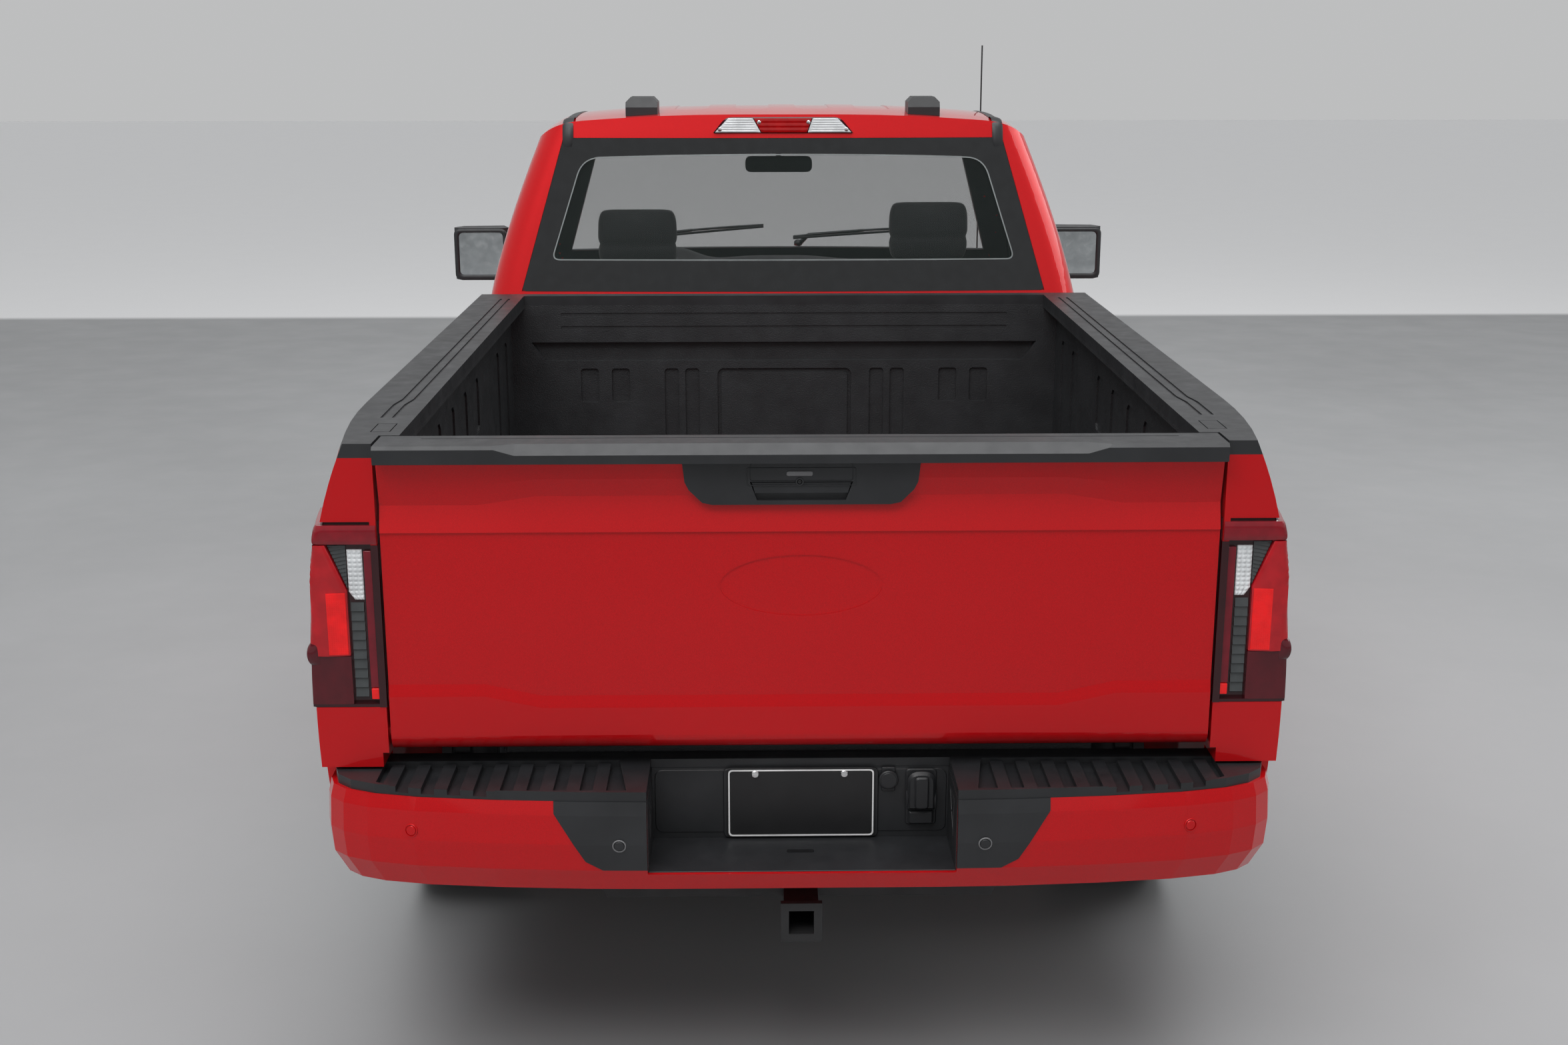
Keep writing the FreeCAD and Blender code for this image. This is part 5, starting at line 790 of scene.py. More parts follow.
def pane_edge(x, z):
    """Where a line from the pane's middle through a point leaves the pane."""
    low, high = 0.8, 2.0
    for _ in range(12):
        share = (low + high) / 2
        if glass_hit(x, z, share) is None:
            high = share
        else:
            low = share
    low -= 0.002
    return (x * low, PANE_MIDDLE + (z - PANE_MIDDLE) * low)


def window_loop(low_half, high_half, low, high, bow, radii):
    """A trapezium with rounded corners and a bowed top, with a set count of points."""
    corners = ((-low_half, low), (low_half, low), (high_half, high), (-high_half, high))
    corners = [Vector(p) for p in corners]
    outline = []
    for i in range(4):
        a, b, c = corners[i - 1], corners[i], corners[(i + 1) % 4]
        shares = [k / LOOP_CORNER_STEPS for k in range(LOOP_CORNER_STEPS)]
        outline += rounded(a, b, c, radii[i], radii[i], shares)
        end = b + (c - b).normalized() * radii[i]
        stop = c + (b - c).normalized() * radii[(i + 1) % 4]
        outline += [end.lerp(stop, k / LOOP_SIDE_STEPS) for k in range(LOOP_SIDE_STEPS)]
    result = []
    for p in outline:
        share = max(0.0, (p.y - low) / (high - low))
        result.append((p.x, p.y + bow * share * (1 - (p.x / high_half) ** 2)))
    return result


def glass_ring(name, look, loops):
    """A thin band on the pane through loops of as many points."""
    rings = [[on_glass(x, z, BORDER_PROUD) for x, z in loop] for loop in loops]
    rings += [[(x, y + BORDER_THICK, z) for x, y, z in ring] for ring in reversed(rings)]
    form = Form()
    form.rings(rings, wrap=True)
    make_piece(form, name, look)


def build_window_border():
    inner = window_loop(0.7165, 0.6185, 1.4955, 1.804, 0.011, (0.03, 0.03, 0.055, 0.055))
    outer = [pane_edge(x, z) for x, z in inner]
    loops = [
        [(between(a[0], b[0], t), between(a[1], b[1], t)) for a, b in zip(outer, inner)]
        for t in spread(0, 1, BORDER_ROWS)
    ]
    glass_ring("rear_window_border", "frit", loops)
    glass_ring("rear_window_line", "frit_line", [inset(inner, 0.0008), inset(inner, 0.0045)])


build_window_border()

# High brake lamp
HIGH_LOW, HIGH_RISE = 1.879, 0.042
HIGH_BACK, HIGH_FACE = -0.2545, -0.2585
HIGH_ROWS, HIGH_COLUMNS = 40, 24


def high_block(form, left, right, relief):
    """A lens between two slanting edges, each given by x at its foot and at its top."""
    def at(row, column):
        rise, u = row / HIGH_ROWS, column / HIGH_COLUMNS
        x = between(between(*left, rise), between(*right, rise), u)
        z = HIGH_LOW + HIGH_RISE * rise
        return (x, HIGH_FACE - relief(u, rise), z), (x, HIGH_BACK, z)
    form.layer(HIGH_ROWS, HIGH_COLUMNS, at)


def high_ribs(u, rise):
    return 0.0016 * waves(rise, 6) * min(1, u * 8, (1 - u) * 8)


def high_cells(u, rise):
    return 0.0012 * waves(u, 7) + 0.0010 * waves(rise, 3)


def build_high_lamp():
    base = Form()
    outline = [(-0.2150, 1.8765), (0.2150, 1.8765), (0.1740, 1.9240), (-0.1760, 1.9240)]
    base.prism(soften(outline, [0.004, 0.004, 0.02, 0.02]), -0.2540, -0.2405, from_behind, 0.003)
    make_piece(base, "high_lamp_base", "lamp_dark", replaces=("high_stop_lamp",))
    clear = Form()
    high_block(clear, (-0.2085, -0.1680), (-0.0690, -0.0930), high_ribs)
    high_block(clear, (0.0755, 0.0905), (0.2085, 0.1660), high_ribs)
    make_piece(clear, "high_lamp_clear", "lamp_crystal", crease=50)
    middle = Form()
    high_block(middle, (-0.0660, -0.0900), (0.0725, 0.0875), high_cells)
    make_piece(middle, "high_lamp_red", "lamp_high", crease=50)
    screws = Form()
    for x, z in ((-0.1937, 1.8880), (-0.0741, 1.9092), (0.0770, 1.9092), (0.1930, 1.8880)):
        screws.disc((x, -0.2580, z), -AHEAD, 0.0058, 0.0042, 0.0015, 16)
    make_piece(screws, "high_lamp_screws", "bright_screw")


build_high_lamp()

# Black mouldings in the roof's side channels
CHANNEL_X, CHANNEL_HALF = 0.6600, 0.0165
CHANNEL_COLUMNS = 6
ROOF_STATIONS, EDGE_STATIONS = 13, 14


def moulding_stations():
    """Where rays meet the roof: straight down along it, then round its rear edge."""
    stations = [(Vector((0, y, 1.60)), UP) for y in spread(0.50, -0.12, ROOF_STATIONS - 1)]
    for angle in spread(0, math.radians(78), EDGE_STATIONS)[1:]:
        stations.append((Vector((0, -0.12, 1.80)), Vector((0, -math.sin(angle), math.cos(angle)))))
    return stations


def build_roof_mouldings():
    cab_tree = tree_of("cab_shell")
    stations = moulding_stations()
    across = spread(-CHANNEL_HALF, CHANNEL_HALF, CHANNEL_COLUMNS)
    form = Form()
    for side in (-1, 1):
        def foot(row, column, side=side):
            return stations[row][0] + Vector((side * (CHANNEL_X + across[column]), 0, 0))
        reach = []
        for row, (_, out) in enumerate(stations):
            line = []
            for column in range(CHANNEL_COLUMNS + 1):
                start = foot(row, column)
                spot = cab_tree.ray_cast(start + out * 0.6, -out)[0]
                line.append((spot - start).length if spot else 0.1)
            reach.append(line)
        for _ in range(30):
            for r in range(EDGE_STATIONS, len(reach) - 1):
                for c in range(CHANNEL_COLUMNS + 1):
                    reach[r][c] = max(reach[r][c], (reach[r - 1][c] + reach[r + 1][c]) / 2)

        def at(row, column):
            start, out, length = foot(row, column), stations[row][1], reach[row][column]
            crest = 0.0035 - 0.0022 * abs(across[column] / CHANNEL_HALF) ** 4
            return start + out * (length + crest), start + out * (length + 0.0004)
        form.layer(len(stations) - 1, CHANNEL_COLUMNS, at)
    make_piece(form, "roof_mouldings", "black_plastic", crease=50)


build_roof_mouldings()


# Door mirrors and inner mirror
def build_mirrors():
    for side, name in ((-1, "left"), (1, "right")):
        body = "door_" + name + "_body"

        def behind(u, v, w, side=side):
            return (side * u, w, v)
        rim = Form()
        rim.ring_prism(
            rectangle(1.0160, 1.2120, 1.2820, 1.4690, 0.022, 6),
            rectangle(1.0290, 1.1945, 1.2985, 1.4560, 0.018, 6), 0.9215, 0.9300, behind, 0.003,
        )
        make_piece(rim, "mirror_frame_" + name, "black_plastic", body, crease=50)
        face = Form()
        face.prism(rectangle(1.0292, 1.1943, 1.2987, 1.4558, 0.018, 6), 0.9245, 0.9290, behind, 0.0006)
        make_piece(face, "mirror_glass_" + name, "mirror_face", body)
    inner = Form()
    inner.prism(rectangle(-0.1210, 0.1155, 1.6990, 1.7540, 0.022, 6), 0.6050, 0.6300, from_behind, 0.004)
    inner.tube([(-0.003, 0.628, 1.735), (-0.003, 0.650, 1.765), (-0.003, 0.655, 1.790)], 0.009)
    make_piece(inner, "inner_mirror", "cabin_plastic", crease=50)


build_mirrors()

# Wheels: tyres with their tread, nuts, centre caps and valves
WHEELS = {
    "front_left": (-1, 1.701), "front_right": (1, 1.701),
    "rear_left": (-1, -1.418), "rear_right": (1, -1.418),
}
WHEEL_HEIGHT = 0.405
TYRE_MIDDLE = 0.8605
SIDEWALL = (
    (0.1080, 0.2628), (0.1120, 0.2660), (0.1150, 0.2710), (0.1215, 0.2820), (0.1255, 0.2900),
    (0.1262, 0.2930), (0.1300, 0.2980), (0.1340, 0.3090), (0.1352, 0.3180), (0.1372, 0.3190),
    (0.1374, 0.3290), (0.1352, 0.3300), (0.1346, 0.3440), (0.1338, 0.3510), (0.1322, 0.3520),
    (0.1308, 0.3620), (0.1270, 0.3740), (0.1235, 0.3840), (0.1180, 0.3925),
)
GROOVES = ((0.0860, 0.0780), (0.0420, 0.0330), (0.0040, -0.0040), (-0.0330, -0.0420), (-0.0780, -0.0860))
TREAD_RADIUS, SHOULDER_RADIUS, GROOVE_RADIUS = 0.4048, 0.4040, 0.3965
BLOCKS = 54
BLOCK_SHARES = ((0.0, False), (0.80, False), (0.84, True), (0.96, True))
RIB_SHIFT = 0.35 / BLOCKS
NUT_CIRCLE, VALVE_CIRCLE = 0.0655, 0.222
NUT = (
    (TIP, 0), (0.0135, 0), (0.0135, 0.003), (0.0112, 0.005), (0.0112, 0.018), (0.0085, 0.023), (TIP, 0.024),
)
CAP = (
    (TIP, 0), (0.0395, 0), (0.0410, 0.0020), (0.0400, 0.0100), (0.0370, 0.0140), (0.0330, 0.0150),
    (0.0315, 0.0130), (TIP, 0.0145),
)
VALVE = ((TIP, 0), (0.0045, 0), (0.0040, 0.012), (0.0030, 0.014), (0.0030, 0.022), (TIP, 0.023))


def tread_profile():
    """Distance from the tyre's middle, radius, and rib; the floor of a groove has rib -1."""
    points = [(0.1095, 0.4005, 0), (0.1000, SHOULDER_RADIUS, 0)]
    for rib, (start, end) in enumerate(GROOVES):
        points += [(start, TREAD_RADIUS, rib), (start - 0.0012, GROOVE_RADIUS, -1)]
        points += [(end + 0.0012, GROOVE_RADIUS, -1), (end, TREAD_RADIUS, rib + 1)]
    last = len(GROOVES)
    return points + [(-0.1000, SHOULDER_RADIUS, last), (-0.1095, 0.4005, last)]


def slot_depth(t, rib):
    """How deep the cross slots cut a rib; the two middle ribs have none."""
    if rib in (-1, 2, 3):
        return 0.0
    return 0.007 if rib in (0, 5) and abs(t) > 0.09 else 0.006


def build_tyre(name, side, y):
    tread = tread_profile()
    rings = []
    for block in range(BLOCKS):
        for share, slotted in BLOCK_SHARES:
            turn = (block + share) / BLOCKS
            ring = [(t, r, turn) for t, r in SIDEWALL]
            for t, r, rib in tread:
                depth = slot_depth(t, rib) if slotted else 0.0
                ring.append((t, r - depth, turn + (RIB_SHIFT if rib in (1, 4) else 0.0)))
            ring += [(-t, r, turn) for t, r in reversed(SIDEWALL)]
            rings.append([
                (side * (TYRE_MIDDLE + t), *on_wheel(y, r, math.tau * a)) for t, r, a in ring
            ])
    form = Form()
    form.rings(rings, wrap=True)
    make_piece(form, "tyre_" + name + "_tread", "tyre_rubber", "wheel_" + name, ("tyre_" + name,), crease=28)


def on_wheel(y, radius, angle):
    """Ahead and up, at an angle that starts at the wheel's top."""
    return y + radius * math.sin(angle), WHEEL_HEIGHT + radius * math.cos(angle)


def build_wheels():
    for name, (side, y) in WHEELS.items():
        body, axis = "wheel_" + name, (side, 0, 0)
        build_tyre(name, side, y)
        nuts = Form()
        for k in range(6):
            nuts.turn(NUT, (side * 0.9332, *on_wheel(y, NUT_CIRCLE, math.radians(60 - 60 * k))), axis, 6)
        make_piece(nuts, "wheel_nuts_" + name, "bright_screw", body, crease=30, bevel=0.0007)
        cap = Form()
        cap.turn(CAP, (side * 0.9447, y, WHEEL_HEIGHT), axis, 40)
        make_piece(cap, "wheel_cap_" + name, "gloss_black", body, crease=40)
        valve = Form()
        foot = (side * 0.9140, *on_wheel(y, VALVE_CIRCLE, math.radians(60)))
        valve.turn(VALVE, foot, (side, 0.25, 0.1), 12)
        make_piece(valve, "wheel_valve_" + name, "black_plastic", body)


build_wheels()

# Headlamps: the front line of the opening, as (x, y)
HEAD_LINE = (
    (0.600, 2.5465), (0.620, 2.544), (0.660, 2.533), (0.700, 2.520), (0.740, 2.504), (0.780, 2.484),
    (0.820, 2.4595), (0.860, 2.428), (0.900, 2.387), (0.940, 2.330), (0.9685, 2.266),
)
HEAD_LOW, HEAD_HIGH = 0.853, 1.127
HEAD_LEFT, HEAD_RIGHT = 0.624, 0.966
BOWLS = ((0.690, 1.040, 0.042), (0.785, 1.040, 0.042), (0.690, 0.924, 0.036), (0.785, 0.924, 0.036))


def head_line(x):
    """Where the line is at x, and how it slopes there."""
    for (x0, y0), (x1, y1) in zip(HEAD_LINE, HEAD_LINE[1:]):
        if x <= x1:
            return between(y0, y1, (x - x0) / (x1 - x0)), (y1 - y0) / (x1 - x0)
    return HEAD_LINE[-1][1], -2.5


def head_at(side, x, z, proud):
    y, slope = head_line(x)
    out = Vector((-slope, 1)).normalized()
    return (side * (x + out.x * proud), y + out.y * proud, z)


def head_layer(form, levels, left, right, proud, depth, columns, relief=None):
    """A closed layer along the line on both headlamps."""
    for side in (-1, 1):
        def at(row, column, side=side):
            z, u = levels[row], column / columns
            x = between(left, right, u)
            lift = relief(u, z) if relief else 0.0
            return head_at(side, x, z, proud + lift), head_at(side, x, z, proud - depth)
        form.layer(len(levels) - 1, columns, at)


def head_beads(u, z):
    return 0.003 * waves(u, 22)


def head_rungs(u, z):
    return 0.003 * waves((z - 0.87) / 0.23, 16)


def marker_ribs(u, z):
    return 0.002 * abs(math.sin(u * 16))


def build_headlamps():
    shell = Form()
    head_layer(shell, spread(HEAD_LOW, HEAD_HIGH, 4), HEAD_LEFT, HEAD_RIGHT, -0.060, 0.012, 24)
    for levels in ((0.8515, 0.8640), (1.1160, 1.1285)):
        head_layer(shell, levels, HEAD_LEFT, HEAD_RIGHT, -0.0030, 0.060, 24)
    for left, right in ((0.6235, 0.6340), (0.9560, 0.9675)):
        head_layer(shell, spread(HEAD_LOW, HEAD_HIGH, 3), left, right, -0.0030, 0.060, 3)
    head_layer(shell, (0.984, 0.996), 0.630, 0.940, -0.030, 0.030, 20)
    make_piece(shell, "headlamp_housing", "gloss_black", replaces=("headlamps",), bevel=0.0015)
    cover = Form()
    head_layer(cover, spread(0.8525, 1.1275, 2), HEAD_LEFT, 0.9670, -0.0004, 0.0022, 30)
    make_piece(cover, "headlamp_cover", "clear_cover", crease=60)
    strips = Form()
    head_layer(strips, spread(1.096, 1.112, 2), 0.640, 0.950, -0.012, 0.012, 88, head_beads)
    head_layer(strips, spread(0.868, 1.094, 64), 0.934, 0.950, -0.012, 0.012, 2, head_rungs)
    make_piece(strips, "headlamp_strips", "lamp_crystal", crease=60)
    bowls, eyes = Form(), Form()
    for side in (-1, 1):
        axis = (side * 0.25, 1, 0)
        for x, z, r in BOWLS:
            centre = (side * x, head_line(x)[0] - 0.052, z)
            bowls.turn((
                (0.012, 0.002), (r * 0.6, 0.006), (r * 0.9, 0.020), (r, 0.034), (r + 0.003, 0.034),
                (r + 0.003, -0.004), (0.012, -0.004),
            ), centre, axis, 32, wrap=True)
            eyes.turn((
                (TIP, 0), (r * 0.62, 0), (r * 0.62, 0.010), (r * 0.50, 0.020), (r * 0.28, 0.026),
                (TIP, 0.028),
            ), centre, axis, 32)
    make_piece(bowls, "headlamp_bowls", "bright_screw", crease=50)
    make_piece(eyes, "headlamp_projectors", "lamp_crystal", crease=50)
    marker = Form()
    head_layer(marker, spread(0.872, 0.975, 20), 0.880, 0.926, -0.014, 0.010, 10, marker_ribs)
    make_piece(marker, "headlamp_marker", "amber_lens", crease=50)


build_headlamps()


# Shutters behind the grille bars
def build_grille_shutters():
    form = Form()
    for x in spread(-0.54, 0.54, 24):
        outline = [(x - 0.002, 2.4845), (x + 0.002, 2.4845), (x + 0.004, 2.5040), (x - 0.004, 2.5040)]
        form.prism(outline, 0.762, 1.108, from_above)
    make_piece(form, "grille_shutters", "frame_black")


build_grille_shutters()

# Engine cover and its fittings, on top of the engine
ENGINE_TOP = 1.0762
COVER_TOP = ENGINE_TOP + 0.034
HOSE = ((0.215, 1.990, 0.020), (0.235, 2.060, 0.016), (0.250, 2.130, -0.004), (0.262, 2.230, -0.020),
        (0.270, 2.330, -0.034), (0.270, 2.4215, -0.040))


def build_engine_cover():
    cover = Form()
    right = [(0.225, 1.520), (0.245, 1.760), (0.205, 2.020)]
    outline = [(-0.225, 1.520), *right, (-0.205, 2.020), (-0.245, 1.760)]
    foot = COVER_TOP - 0.001
    cover.prism(soften(outline, 0.035), COVER_TOP, ENGINE_TOP, from_above, 0.010)
    for x in (-0.165, 0.165):
        rail = rectangle(x - 0.030, x + 0.030, 1.560, 1.985, 0.012)
        cover.prism(rail, COVER_TOP + 0.014, foot, from_above, 0.006)
    for y in spread(1.600, 1.930, 6):
        cover.prism(rectangle(-0.095, 0.095, y, y + 0.022, 0.006), COVER_TOP + 0.007, foot, from_above, 0.003)
    make_piece(cover, "engine_cover", "black_plastic", crease=40)
    fittings = Form()
    fittings.disc((0.165, 1.930, COVER_TOP + 0.013), UP, 0.026, 0.014, 0.003, 32)
    for x in (-0.190, 0.190):
        for y in (1.575, 1.960):
            fittings.disc((x, y, foot), UP, 0.009, 0.010, 0.002, 6)
    make_piece(fittings, "engine_caps", "soft_grey", crease=40)
    hoses = Form()
    for side in (-1, 1):
        hoses.tube([(side * x, y, ENGINE_TOP + z) for x, y, z in HOSE], 0.019, 14)
    make_piece(hoses, "engine_hoses", "tyre_rubber", crease=60)


build_engine_cover()

# Wipers on the windscreen, each from its foot to its tip as (x, z)
WIPERS = (((-0.600, 1.405), (-0.055, 1.455)), ((0.060, 1.405), (0.600, 1.450)))
WIPER_PIVOT = ((TIP, 0), (0.016, 0), (0.016, 0.012), (0.010, 0.018), (TIP, 0.019))


def build_wipers():
    screen = tree_of("windshield")
    arms, blades = Form(), Form()
    for start, end in WIPERS:
        path, edge = [], []
        for share in spread(0, 1, 14):
            x, z = between(start[0], end[0], share), between(start[1], end[1], share)
            spot, normal, _, _ = screen.ray_cast(Vector((x, 3, z)), -AHEAD)
            if spot is None:
                continue
            normal = normal if normal.y > 0 else -normal
            edge.append(spot + normal * 0.0055)
            path.append(spot + normal * (0.013 + 0.006 * math.sin(math.pi * share)))
        blades.tube(edge, 0.0050, 6)
        arms.tube(path, 0.0045, 8)
        pivot = path[0] + Vector((0.02, 0.035, -0.035))
        arms.tube([pivot, path[0] + Vector((0.06, 0.016, 0.004)), path[7]], [0.010, 0.008, 0.0055], 10)
        arms.turn(WIPER_PIVOT, pivot, (0, 0.45, 0.9), 20)
    make_piece(arms, "wiper_arms", "black_plastic", crease=50)
    make_piece(blades, "wiper_blades", "tyre_rubber")


build_wipers()

# Dashboard fittings
KNOB = ((TIP, 0), (0.012, 0), (0.0115, 0.014), (0.010, 0.016), (TIP, 0.0165))
VENTS = ((-0.820, -0.700), (0.170, 0.270), (0.700, 0.820))


def build_dashboard_fittings():
    dash = tree_of("dashboard")

    def face_at(x, z):
        hit = dash.ray_cast(Vector((x, -1, z)), AHEAD)[0]
        return hit.y if hit else 0.60
    trim = Form()
    y = face_at(0.0, 1.20)
    add_panels(trim, y, ((-0.150, 0.150, 1.115, 1.275, 0.012, 0.010, -0.030, 0.004),))
    for x in spread(-0.108, 0.108, 3):
        trim.turn(KNOB, (x, y - 0.009, 1.1325), -AHEAD)
    for left, right in VENTS:
        face = face_at((left + right) / 2, 1.19)
        for z in spread(1.150, 1.222, 4):
            add_panels(trim, face, ((left, right, z, z + 0.004, 0, 0.008, -0.010, 0.001),))
        trim.ring_prism(
            rectangle(left - 0.008, right + 0.008, 1.138, 1.238, 0.012),
            rectangle(left, right, 1.146, 1.230, 0.008), face - 0.010, face + 0.010, from_behind, 0.002,
        )
    add_panels(trim, face_at(0.5, 1.05), ((0.300, 0.640, 0.985, 1.110, 0.015, 0.006, -0.006, 0.003),))
    make_piece(trim, "dash_fittings", "cabin_plastic", crease=40)
    panel_piece("dash_screen", "gloss_black", y, (
        (-0.140, 0.140, 1.150, 1.268, 0.006, 0.0115, 0.0095, 0.0006),
    ))


build_dashboard_fittings()

# Soft top of the dashboard, with the hood over the instruments
PAD_HALF, PAD_REAR, PAD_FRONT, PAD_FOOT = 0.800, 0.615, 1.000, 1.2955
PAD_COLUMNS, PAD_ROWS = 48, 10
WHEEL_X = -0.455
PAD_SLOT = ((0.70, 0.955, 1.336), (0.40, 0.975, 1.344), (0.08, 0.985, 1.346))


def hump(value, reach, power=4):
    """One at zero, and nothing well past the reach."""
    return math.exp(-(value / reach) ** power)


def pad_point(row, column):
    t, u = row / PAD_ROWS, 2 * column / PAD_COLUMNS - 1
    x = PAD_HALF * u
    rise = 0.072 * math.sin(math.pi * min(1.0, 0.16 + t * 0.72)) * (1 - u ** 8)
    hood = 0.050 * hump(x - WHEEL_X, 0.17) * hump(t - 0.30, 0.30)
    brow = 0.016 * hump(x, 0.20) * hump(t - 0.35, 0.30)
    y = between(PAD_REAR + 0.072 * hump(x - WHEEL_X, 0.26, 6), PAD_FRONT, t)
    return (x, y, PAD_FOOT + 0.001 + rise + hood + brow), (x, y, PAD_FOOT)


def build_dash_pad():
    pad, slots = Form(), Form()
    pad.layer(PAD_ROWS, PAD_COLUMNS, pad_point)
    make_piece(pad, "dash_pad", "cabin_plastic", crease=60)
    for side in (-1, 1):
        slots.tube([(side * x, y, z) for x, y, z in PAD_SLOT], 0.004, 6)
    make_piece(slots, "dash_vent_slots", "gloss_black")


build_dash_pad()

# Trim panels on the inner faces of the cab and doors, found by rays from points in the cab
EYES = (
    (-0.40, 0.20, 1.60), (0.40, 0.20, 1.60), (0.0, 0.25, 1.45),
    (-0.45, 0.52, 1.20), (0.45, 0.52, 1.20), (0.0, -0.02, 1.72),
)
EYE_RAYS = 7000
CAB_FACES = (
    "cab_shell", "door_left", "door_right", "door_glass_left", "door_glass_right", "rear_window",
    "windshield",
)
TRIMMED = {"cab_shell": "chassis", "door_left": "door_left_body", "door_right": "door_right_body"}


def seen_inside():
    """The faces of each node that are seen from inside the cab."""
    tree, owners = gather(*CAB_FACES)
    seen = {name: set() for name in CAB_FACES}
    golden = math.pi * (3 - math.sqrt(5))
    for eye in EYES:
        for k in range(EYE_RAYS):
            z = 1 - 2 * (k + 0.5) / EYE_RAYS
            flat = math.sqrt(1 - z * z)
            ray = Vector((math.cos(golden * k) * flat, math.sin(golden * k) * flat, z))
            index = tree.ray_cast(Vector(eye), ray)[2]
            if index is not None:
                name, face = owners[index]
                seen[name].add(face)
    return seen


def widen(mesh, chosen):
    """Adds the faces next to the chosen ones that carry their surface on."""
    around = {}
    for polygon in mesh.polygons:
        for key in polygon.edge_keys:
            around.setdefault(key, []).append(polygon.index)
    for _ in range(3):
        for index in list(chosen):
            here = mesh.polygons[index]
            for key in here.edge_keys:
                for other in around[key]:
                    if mesh.polygons[other].normal.dot(here.normal) > 0.93:
                        chosen.add(other)


def panel_over(mesh, chosen):
    """A thin closed panel over the chosen faces."""
    polygons = [mesh.polygons[index] for index in chosen]
    leans = {}
    for polygon in polygons:
        for v in polygon.vertices:
            leans[v] = leans.get(v, Vector()) + polygon.normal * polygon.area
    order = {v: i for i, v in enumerate(leans)}
    count = len(order)
    faces, rims = [], {}
    for polygon in polygons:
        ring = [order[v] for v in polygon.vertices]
        faces += [tuple(ring), tuple(count + i for i in reversed(ring))]
        rims.update(dict.fromkeys(zip(ring, ring[1:] + ring[:1])))
    faces += [(b, a, count + a, count + b) for a, b in rims if (b, a) not in rims]
    form = Form()
    form.add([
        mesh.vertices[v].co + lean.normalized() * height
        for height in (0.0014, 0.0004) for v, lean in leans.items()
    ], faces)
    return form


def build_cabin_trim():
    seen = seen_inside()
    for name, body in TRIMMED.items():
        mesh = nodes[name].data
        widen(mesh, seen[name])
        make_piece(panel_over(mesh, seen[name]), "trim_" + name, "cabin_plastic", body, crease=30)


build_cabin_trim()


# Trims along the door windows, fuel door
def lay_on(form, tree, middle, out, across, along, half_width, length, proud, depth, columns, rows):
    """A closed strip laid on a surface that faces the way out points."""
    def at(row, column):
        u = half_width * (2 * column / columns - 1)
        v = length * (row / rows - 0.5)
        spot = tree.ray_cast(middle + across * u + along * v + out * 0.4, -out)[0]
        edge = 0.0005 if column in (0, columns) or row in (0, rows) else 0.0
        return spot + out * (proud - edge), spot - out * depth
    form.layer(rows, columns, at)


def build_side_trims():
    for side, name in ((-1, "left"), (1, "right")):
        trim = Form()
        out = Vector((side, 0, 0))
        lay_on(trim, tree_of("door_" + name), Vector((side * 0.9, 0.42, 1.338)), out, UP, AHEAD, 0.008, 0.90,
               0.0030, 0.0005, 3, 30)
        make_piece(trim, "window_trim_" + name, "black_plastic", "door_" + name + "_body", crease=50)
    door = Form()
    lay_on(door, tree_of("bedsides"), Vector((-0.9, -0.72, 1.16)), Vector((-1, 0, 0)), AHEAD, UP, 0.085, 0.17,
           0.0012, 0.0004, 14, 14)
    make_piece(door, "fuel_door", "red_paint", crease=40)


build_side_trims()

# Seats: pads swollen by a cloth simulation, then seamed
VOXEL = 0.018
SWELL_CAP = 0.022
SWELL_FRAMES = 20
PAD_EDGE, PAD_ROUND = 0.018, 0.035
BACK_LINE = (
    (-0.185, 0.700), (-0.020, 0.700), (0.000, 0.980), (-0.138, 1.455), (-0.224, 1.455), (-0.190, 0.980),
)
BASE_LINE = ((-0.010, 0.672), (0.435, 0.672), (0.440, 0.800), (0.425, 0.940), (0.020, 0.950))
REST_LINE = ((-0.228, -0.030), (-0.165, -0.034), (-0.156, 0.130), (-0.185, 0.155), (-0.228, 0.153))
REST_HALF, REST_RISE = 0.122, 0.165
OUTER_SEATS = {"left": (-0.455, 1.655), "right": (0.455, 1.676)}
POST_RING = ((TIP, 0), (0.014, 0), (0.012, 0.010), (TIP, 0.011))
SEAM_PITCH = 0.085


def evaluated_copy(thing):
    graph = bpy.context.evaluated_depsgraph_get()
    return bpy.data.meshes.new_from_object(thing.evaluated_get(graph), depsgraph=graph)


def swell(thing):
    """Remeshes a pad and lets pressure crown it, each point moving by the cap at most."""
    remesh = thing.modifiers.new("voxels", "REMESH")
    remesh.mode = "VOXEL"
    remesh.voxel_size = VOXEL
    thing.data = evaluated_copy(thing)
    thing.modifiers.clear()
    before = [v.co.copy() for v in thing.data.vertices]
    cloth = thing.modifiers.new("cloth", "CLOTH")
    cloth.settings.use_pressure = True
    cloth.settings.uniform_pressure_force = 4.0
    cloth.settings.effector_weights.gravity = 0.0
    cloth.point_cache.frame_start = 1
    cloth.point_cache.frame_end = SWELL_FRAMES
    for number in range(1, SWELL_FRAMES + 1):
        bpy.context.scene.frame_set(number)
    moved = evaluated_copy(thing)
    thing.modifiers.clear()
    bpy.context.scene.frame_set(1)
    for vertex, old in zip(moved.vertices, before):
        step = vertex.co - old
        if step.length > SWELL_CAP:
            vertex.co = old + step * (SWELL_CAP / step.length)
    thing.data = moved


def seam(distance, width=0.010, depth=0.008):
    return depth * hump(distance, width, 2)


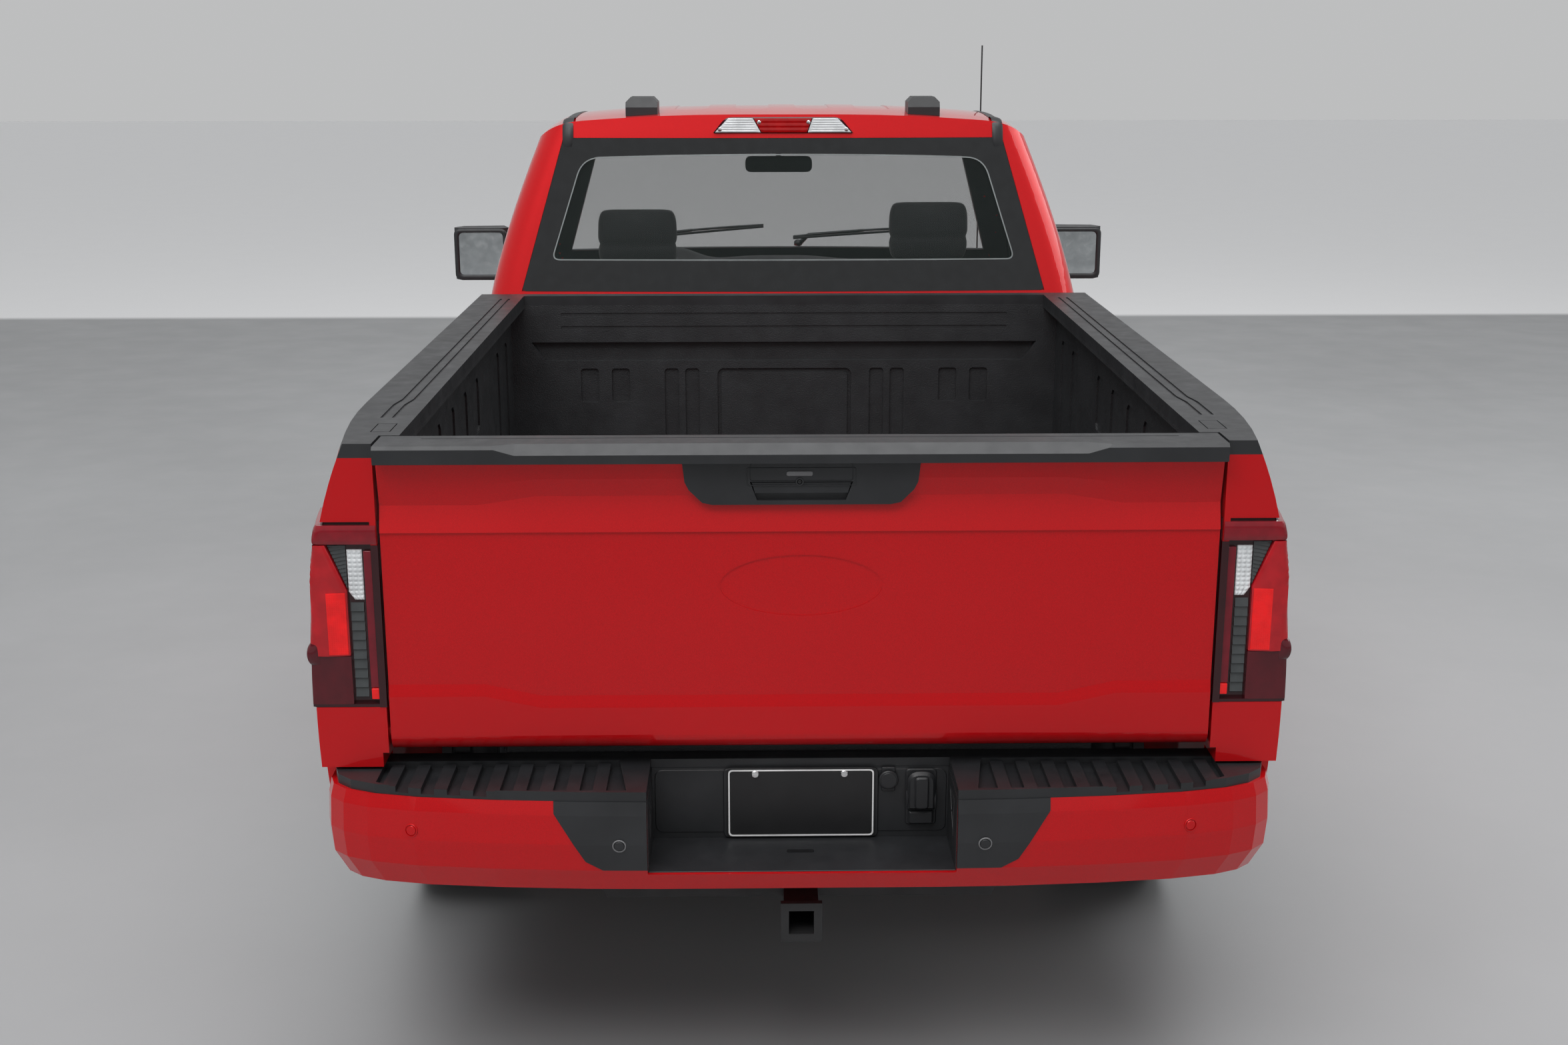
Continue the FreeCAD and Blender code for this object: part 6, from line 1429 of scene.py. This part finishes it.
def build_pads(name, profile, half, seams, places):
    """Pads of one shape with a side profile of (y, z), seamed, at places given as (name's end, x, z)."""
    middle = Vector((0, 0))
    for p in profile:
        middle += Vector(p) / len(profile)
    outline = soften(profile, PAD_ROUND)
    steps = ((half, 0.80), (half - PAD_EDGE * 0.4, 0.92), (half - PAD_EDGE, 1.0))
    steps = [(-x, shrink) for x, shrink in steps] + list(reversed(steps))
    rings = []
    for x, shrink in steps:
        rings.append([
            (x, middle.x + (y - middle.x) * shrink, middle.y + (z - middle.y) * shrink) for y, z in outline
        ])
    form = Form()
    form.rings(rings)
    pad = bpy.data.objects.new("pad", mesh_of(form, "pad"))
    bpy.context.scene.collection.objects.link(pad)
    swell(pad)
    pad.modifiers.new("smooth", "SUBSURF").levels = 1
    mesh = evaluated_copy(pad)
    bpy.data.objects.remove(pad)
    for vertex in mesh.vertices:
        vertex.co -= vertex.normal * seams(vertex.co)
    for side, x, z in places:
        copy = mesh.copy()
        copy.transform(Matrix.Translation((x, 0, z)))
        dress(copy, name + "_" + side, "seat_fabric", "chassis", ("seats",))


def row_seams(value, first):
    """Four seams a pitch apart."""
    return max(seam(value - (first + SEAM_PITCH * k), 0.009, 0.006) for k in range(4))


def build_seat_rows(half, places):
    wing = half * 0.58

    def back_seams(p):
        depth = max(seam(abs(p.x) - wing), seam(p.z - 1.395, 0.009, 0.005))
        return max(depth, row_seams(p.z, 1.05)) if abs(p.x) < wing and p.z < 1.38 else depth

    def base_seams(p):
        depth = max(seam(abs(p.x) - wing), seam(p.z - 0.86, 0.008, 0.004))
        return max(depth, row_seams(p.y, 0.08)) if abs(p.x) < wing else depth
    build_pads("seat_back", BACK_LINE, half, back_seams, places)
    build_pads("seat_base", BASE_LINE, half, base_seams, places)


def rest_seams(p):
    return seam(p.z - 0.045, 0.009, 0.005)


def build_seats():
    build_seat_rows(0.226, [(side, x, 0) for side, (x, _) in OUTER_SEATS.items()])
    build_seat_rows(0.188, [("middle", 0, 0)])
    rests = [(side, x, top - REST_RISE) for side, (x, top) in OUTER_SEATS.items()]
    build_pads("seat_headrest", REST_LINE, REST_HALF, rest_seams, rests)
    posts = Form()
    for _, middle, low in rests:
        for x in (middle - 0.06, middle + 0.06):
            posts.tube([(x, -0.185, 1.44), (x, -0.192, low + 0.03)], 0.006, 12)
            posts.turn(POST_RING, (x, -0.186, 1.462), (0, -0.05, 1), 20)
    make_piece(posts, "seat_posts", "bare_steel")


build_seats()

# Floor and light
FLOOR_SIZE = 90
PALE_FROM = (8.55, 8.70)
NEAR_FLOOR, FAR_FLOOR = (0.33, 0.335, 0.34), (0.90, 0.90, 0.90, 1)
SKY = ((0.50, (0.775, 0.78, 0.785, 1)), (0.92, (0.95, 0.96, 0.98, 1)))
BAND, BAND_PLACES = (0.06, 0.062, 0.066, 1), (0.61, 0.78)


def part_of(tree, output, axis):
    """One coordinate of the place or direction that is shaded."""
    split = tree.nodes.new("ShaderNodeSeparateXYZ")
    tree.links.new(own_place(tree, output), split.inputs["Vector"])
    return split.outputs[axis]


def make_floor():
    """A grey floor that turns pale far ahead."""
    material, tree, shader = new_material("floor")
    mix = tree.nodes.new("ShaderNodeMix")
    mix.data_type = "RGBA"
    fill(mix, {"B": FAR_FLOOR})
    far = map_range(tree, part_of(tree, "Object", "Y"), PALE_FROM, (0, 1))
    tree.links.new(far, mix.inputs["Factor"])
    tree.links.new(wander(tree, noise(tree, 0.6, 4), NEAR_FLOOR, 0.04), mix.inputs["A"])
    tree.links.new(mix.outputs["Result"], shader.inputs["Base Color"])
    rough_range(tree, shader, noise(tree, 3, 3), 0.38, 0.5)
    bpy.ops.mesh.primitive_plane_add(size=FLOOR_SIZE, location=(0, 0, 0))
    floor = bpy.context.object
    floor.name = "floor"
    floor.data.materials.append(material)


def area_light(name, place, aim, size, power):
    data = bpy.data.lights.new(name, "AREA")
    data.shape = "RECTANGLE"
    data.size, data.size_y = size
    data.energy = power
    light = bpy.data.objects.new(name, data)
    bpy.context.scene.collection.objects.link(light)
    light.location = place
    light.rotation_euler = (Vector(aim) - Vector(place)).to_track_quat("-Z", "Y").to_euler()


def make_world():
    """Pale at the horizon, with a darker band above it, and bright overhead."""
    world = bpy.data.worlds.new("world")
    bpy.context.scene.world = world
    world.use_nodes = True
    tree = world.node_tree
    background = tree.nodes["Background"]
    height = part_of(tree, "Generated", "Z")
    tones = tree.nodes.new("ShaderNodeValToRGB")
    stops = tones.color_ramp.elements
    for stop, (place, colour) in zip(stops, SKY):
        stop.position, stop.color = place, colour
    for place in BAND_PLACES:
        stops.new(place).color = BAND
    tree.links.new(height, tones.inputs["Fac"])
    tree.links.new(tones.outputs["Color"], background.inputs["Color"])
    power = map_range(tree, height, (0.78, 0.95), (0.66, 1.6))
    tree.links.new(power, background.inputs["Strength"])


make_floor()
make_world()
area_light("overhead", (0, -1.0, 6.5), (0, 0, 0.8), (7, 9), 330)
area_light("behind", (-2.5, -7.0, 7.5), (0, -2.4, 0.9), (7, 3), 330)
area_light("side", (7.5, 1.0, 4.5), (0, 0, 0.8), (7, 3), 160)
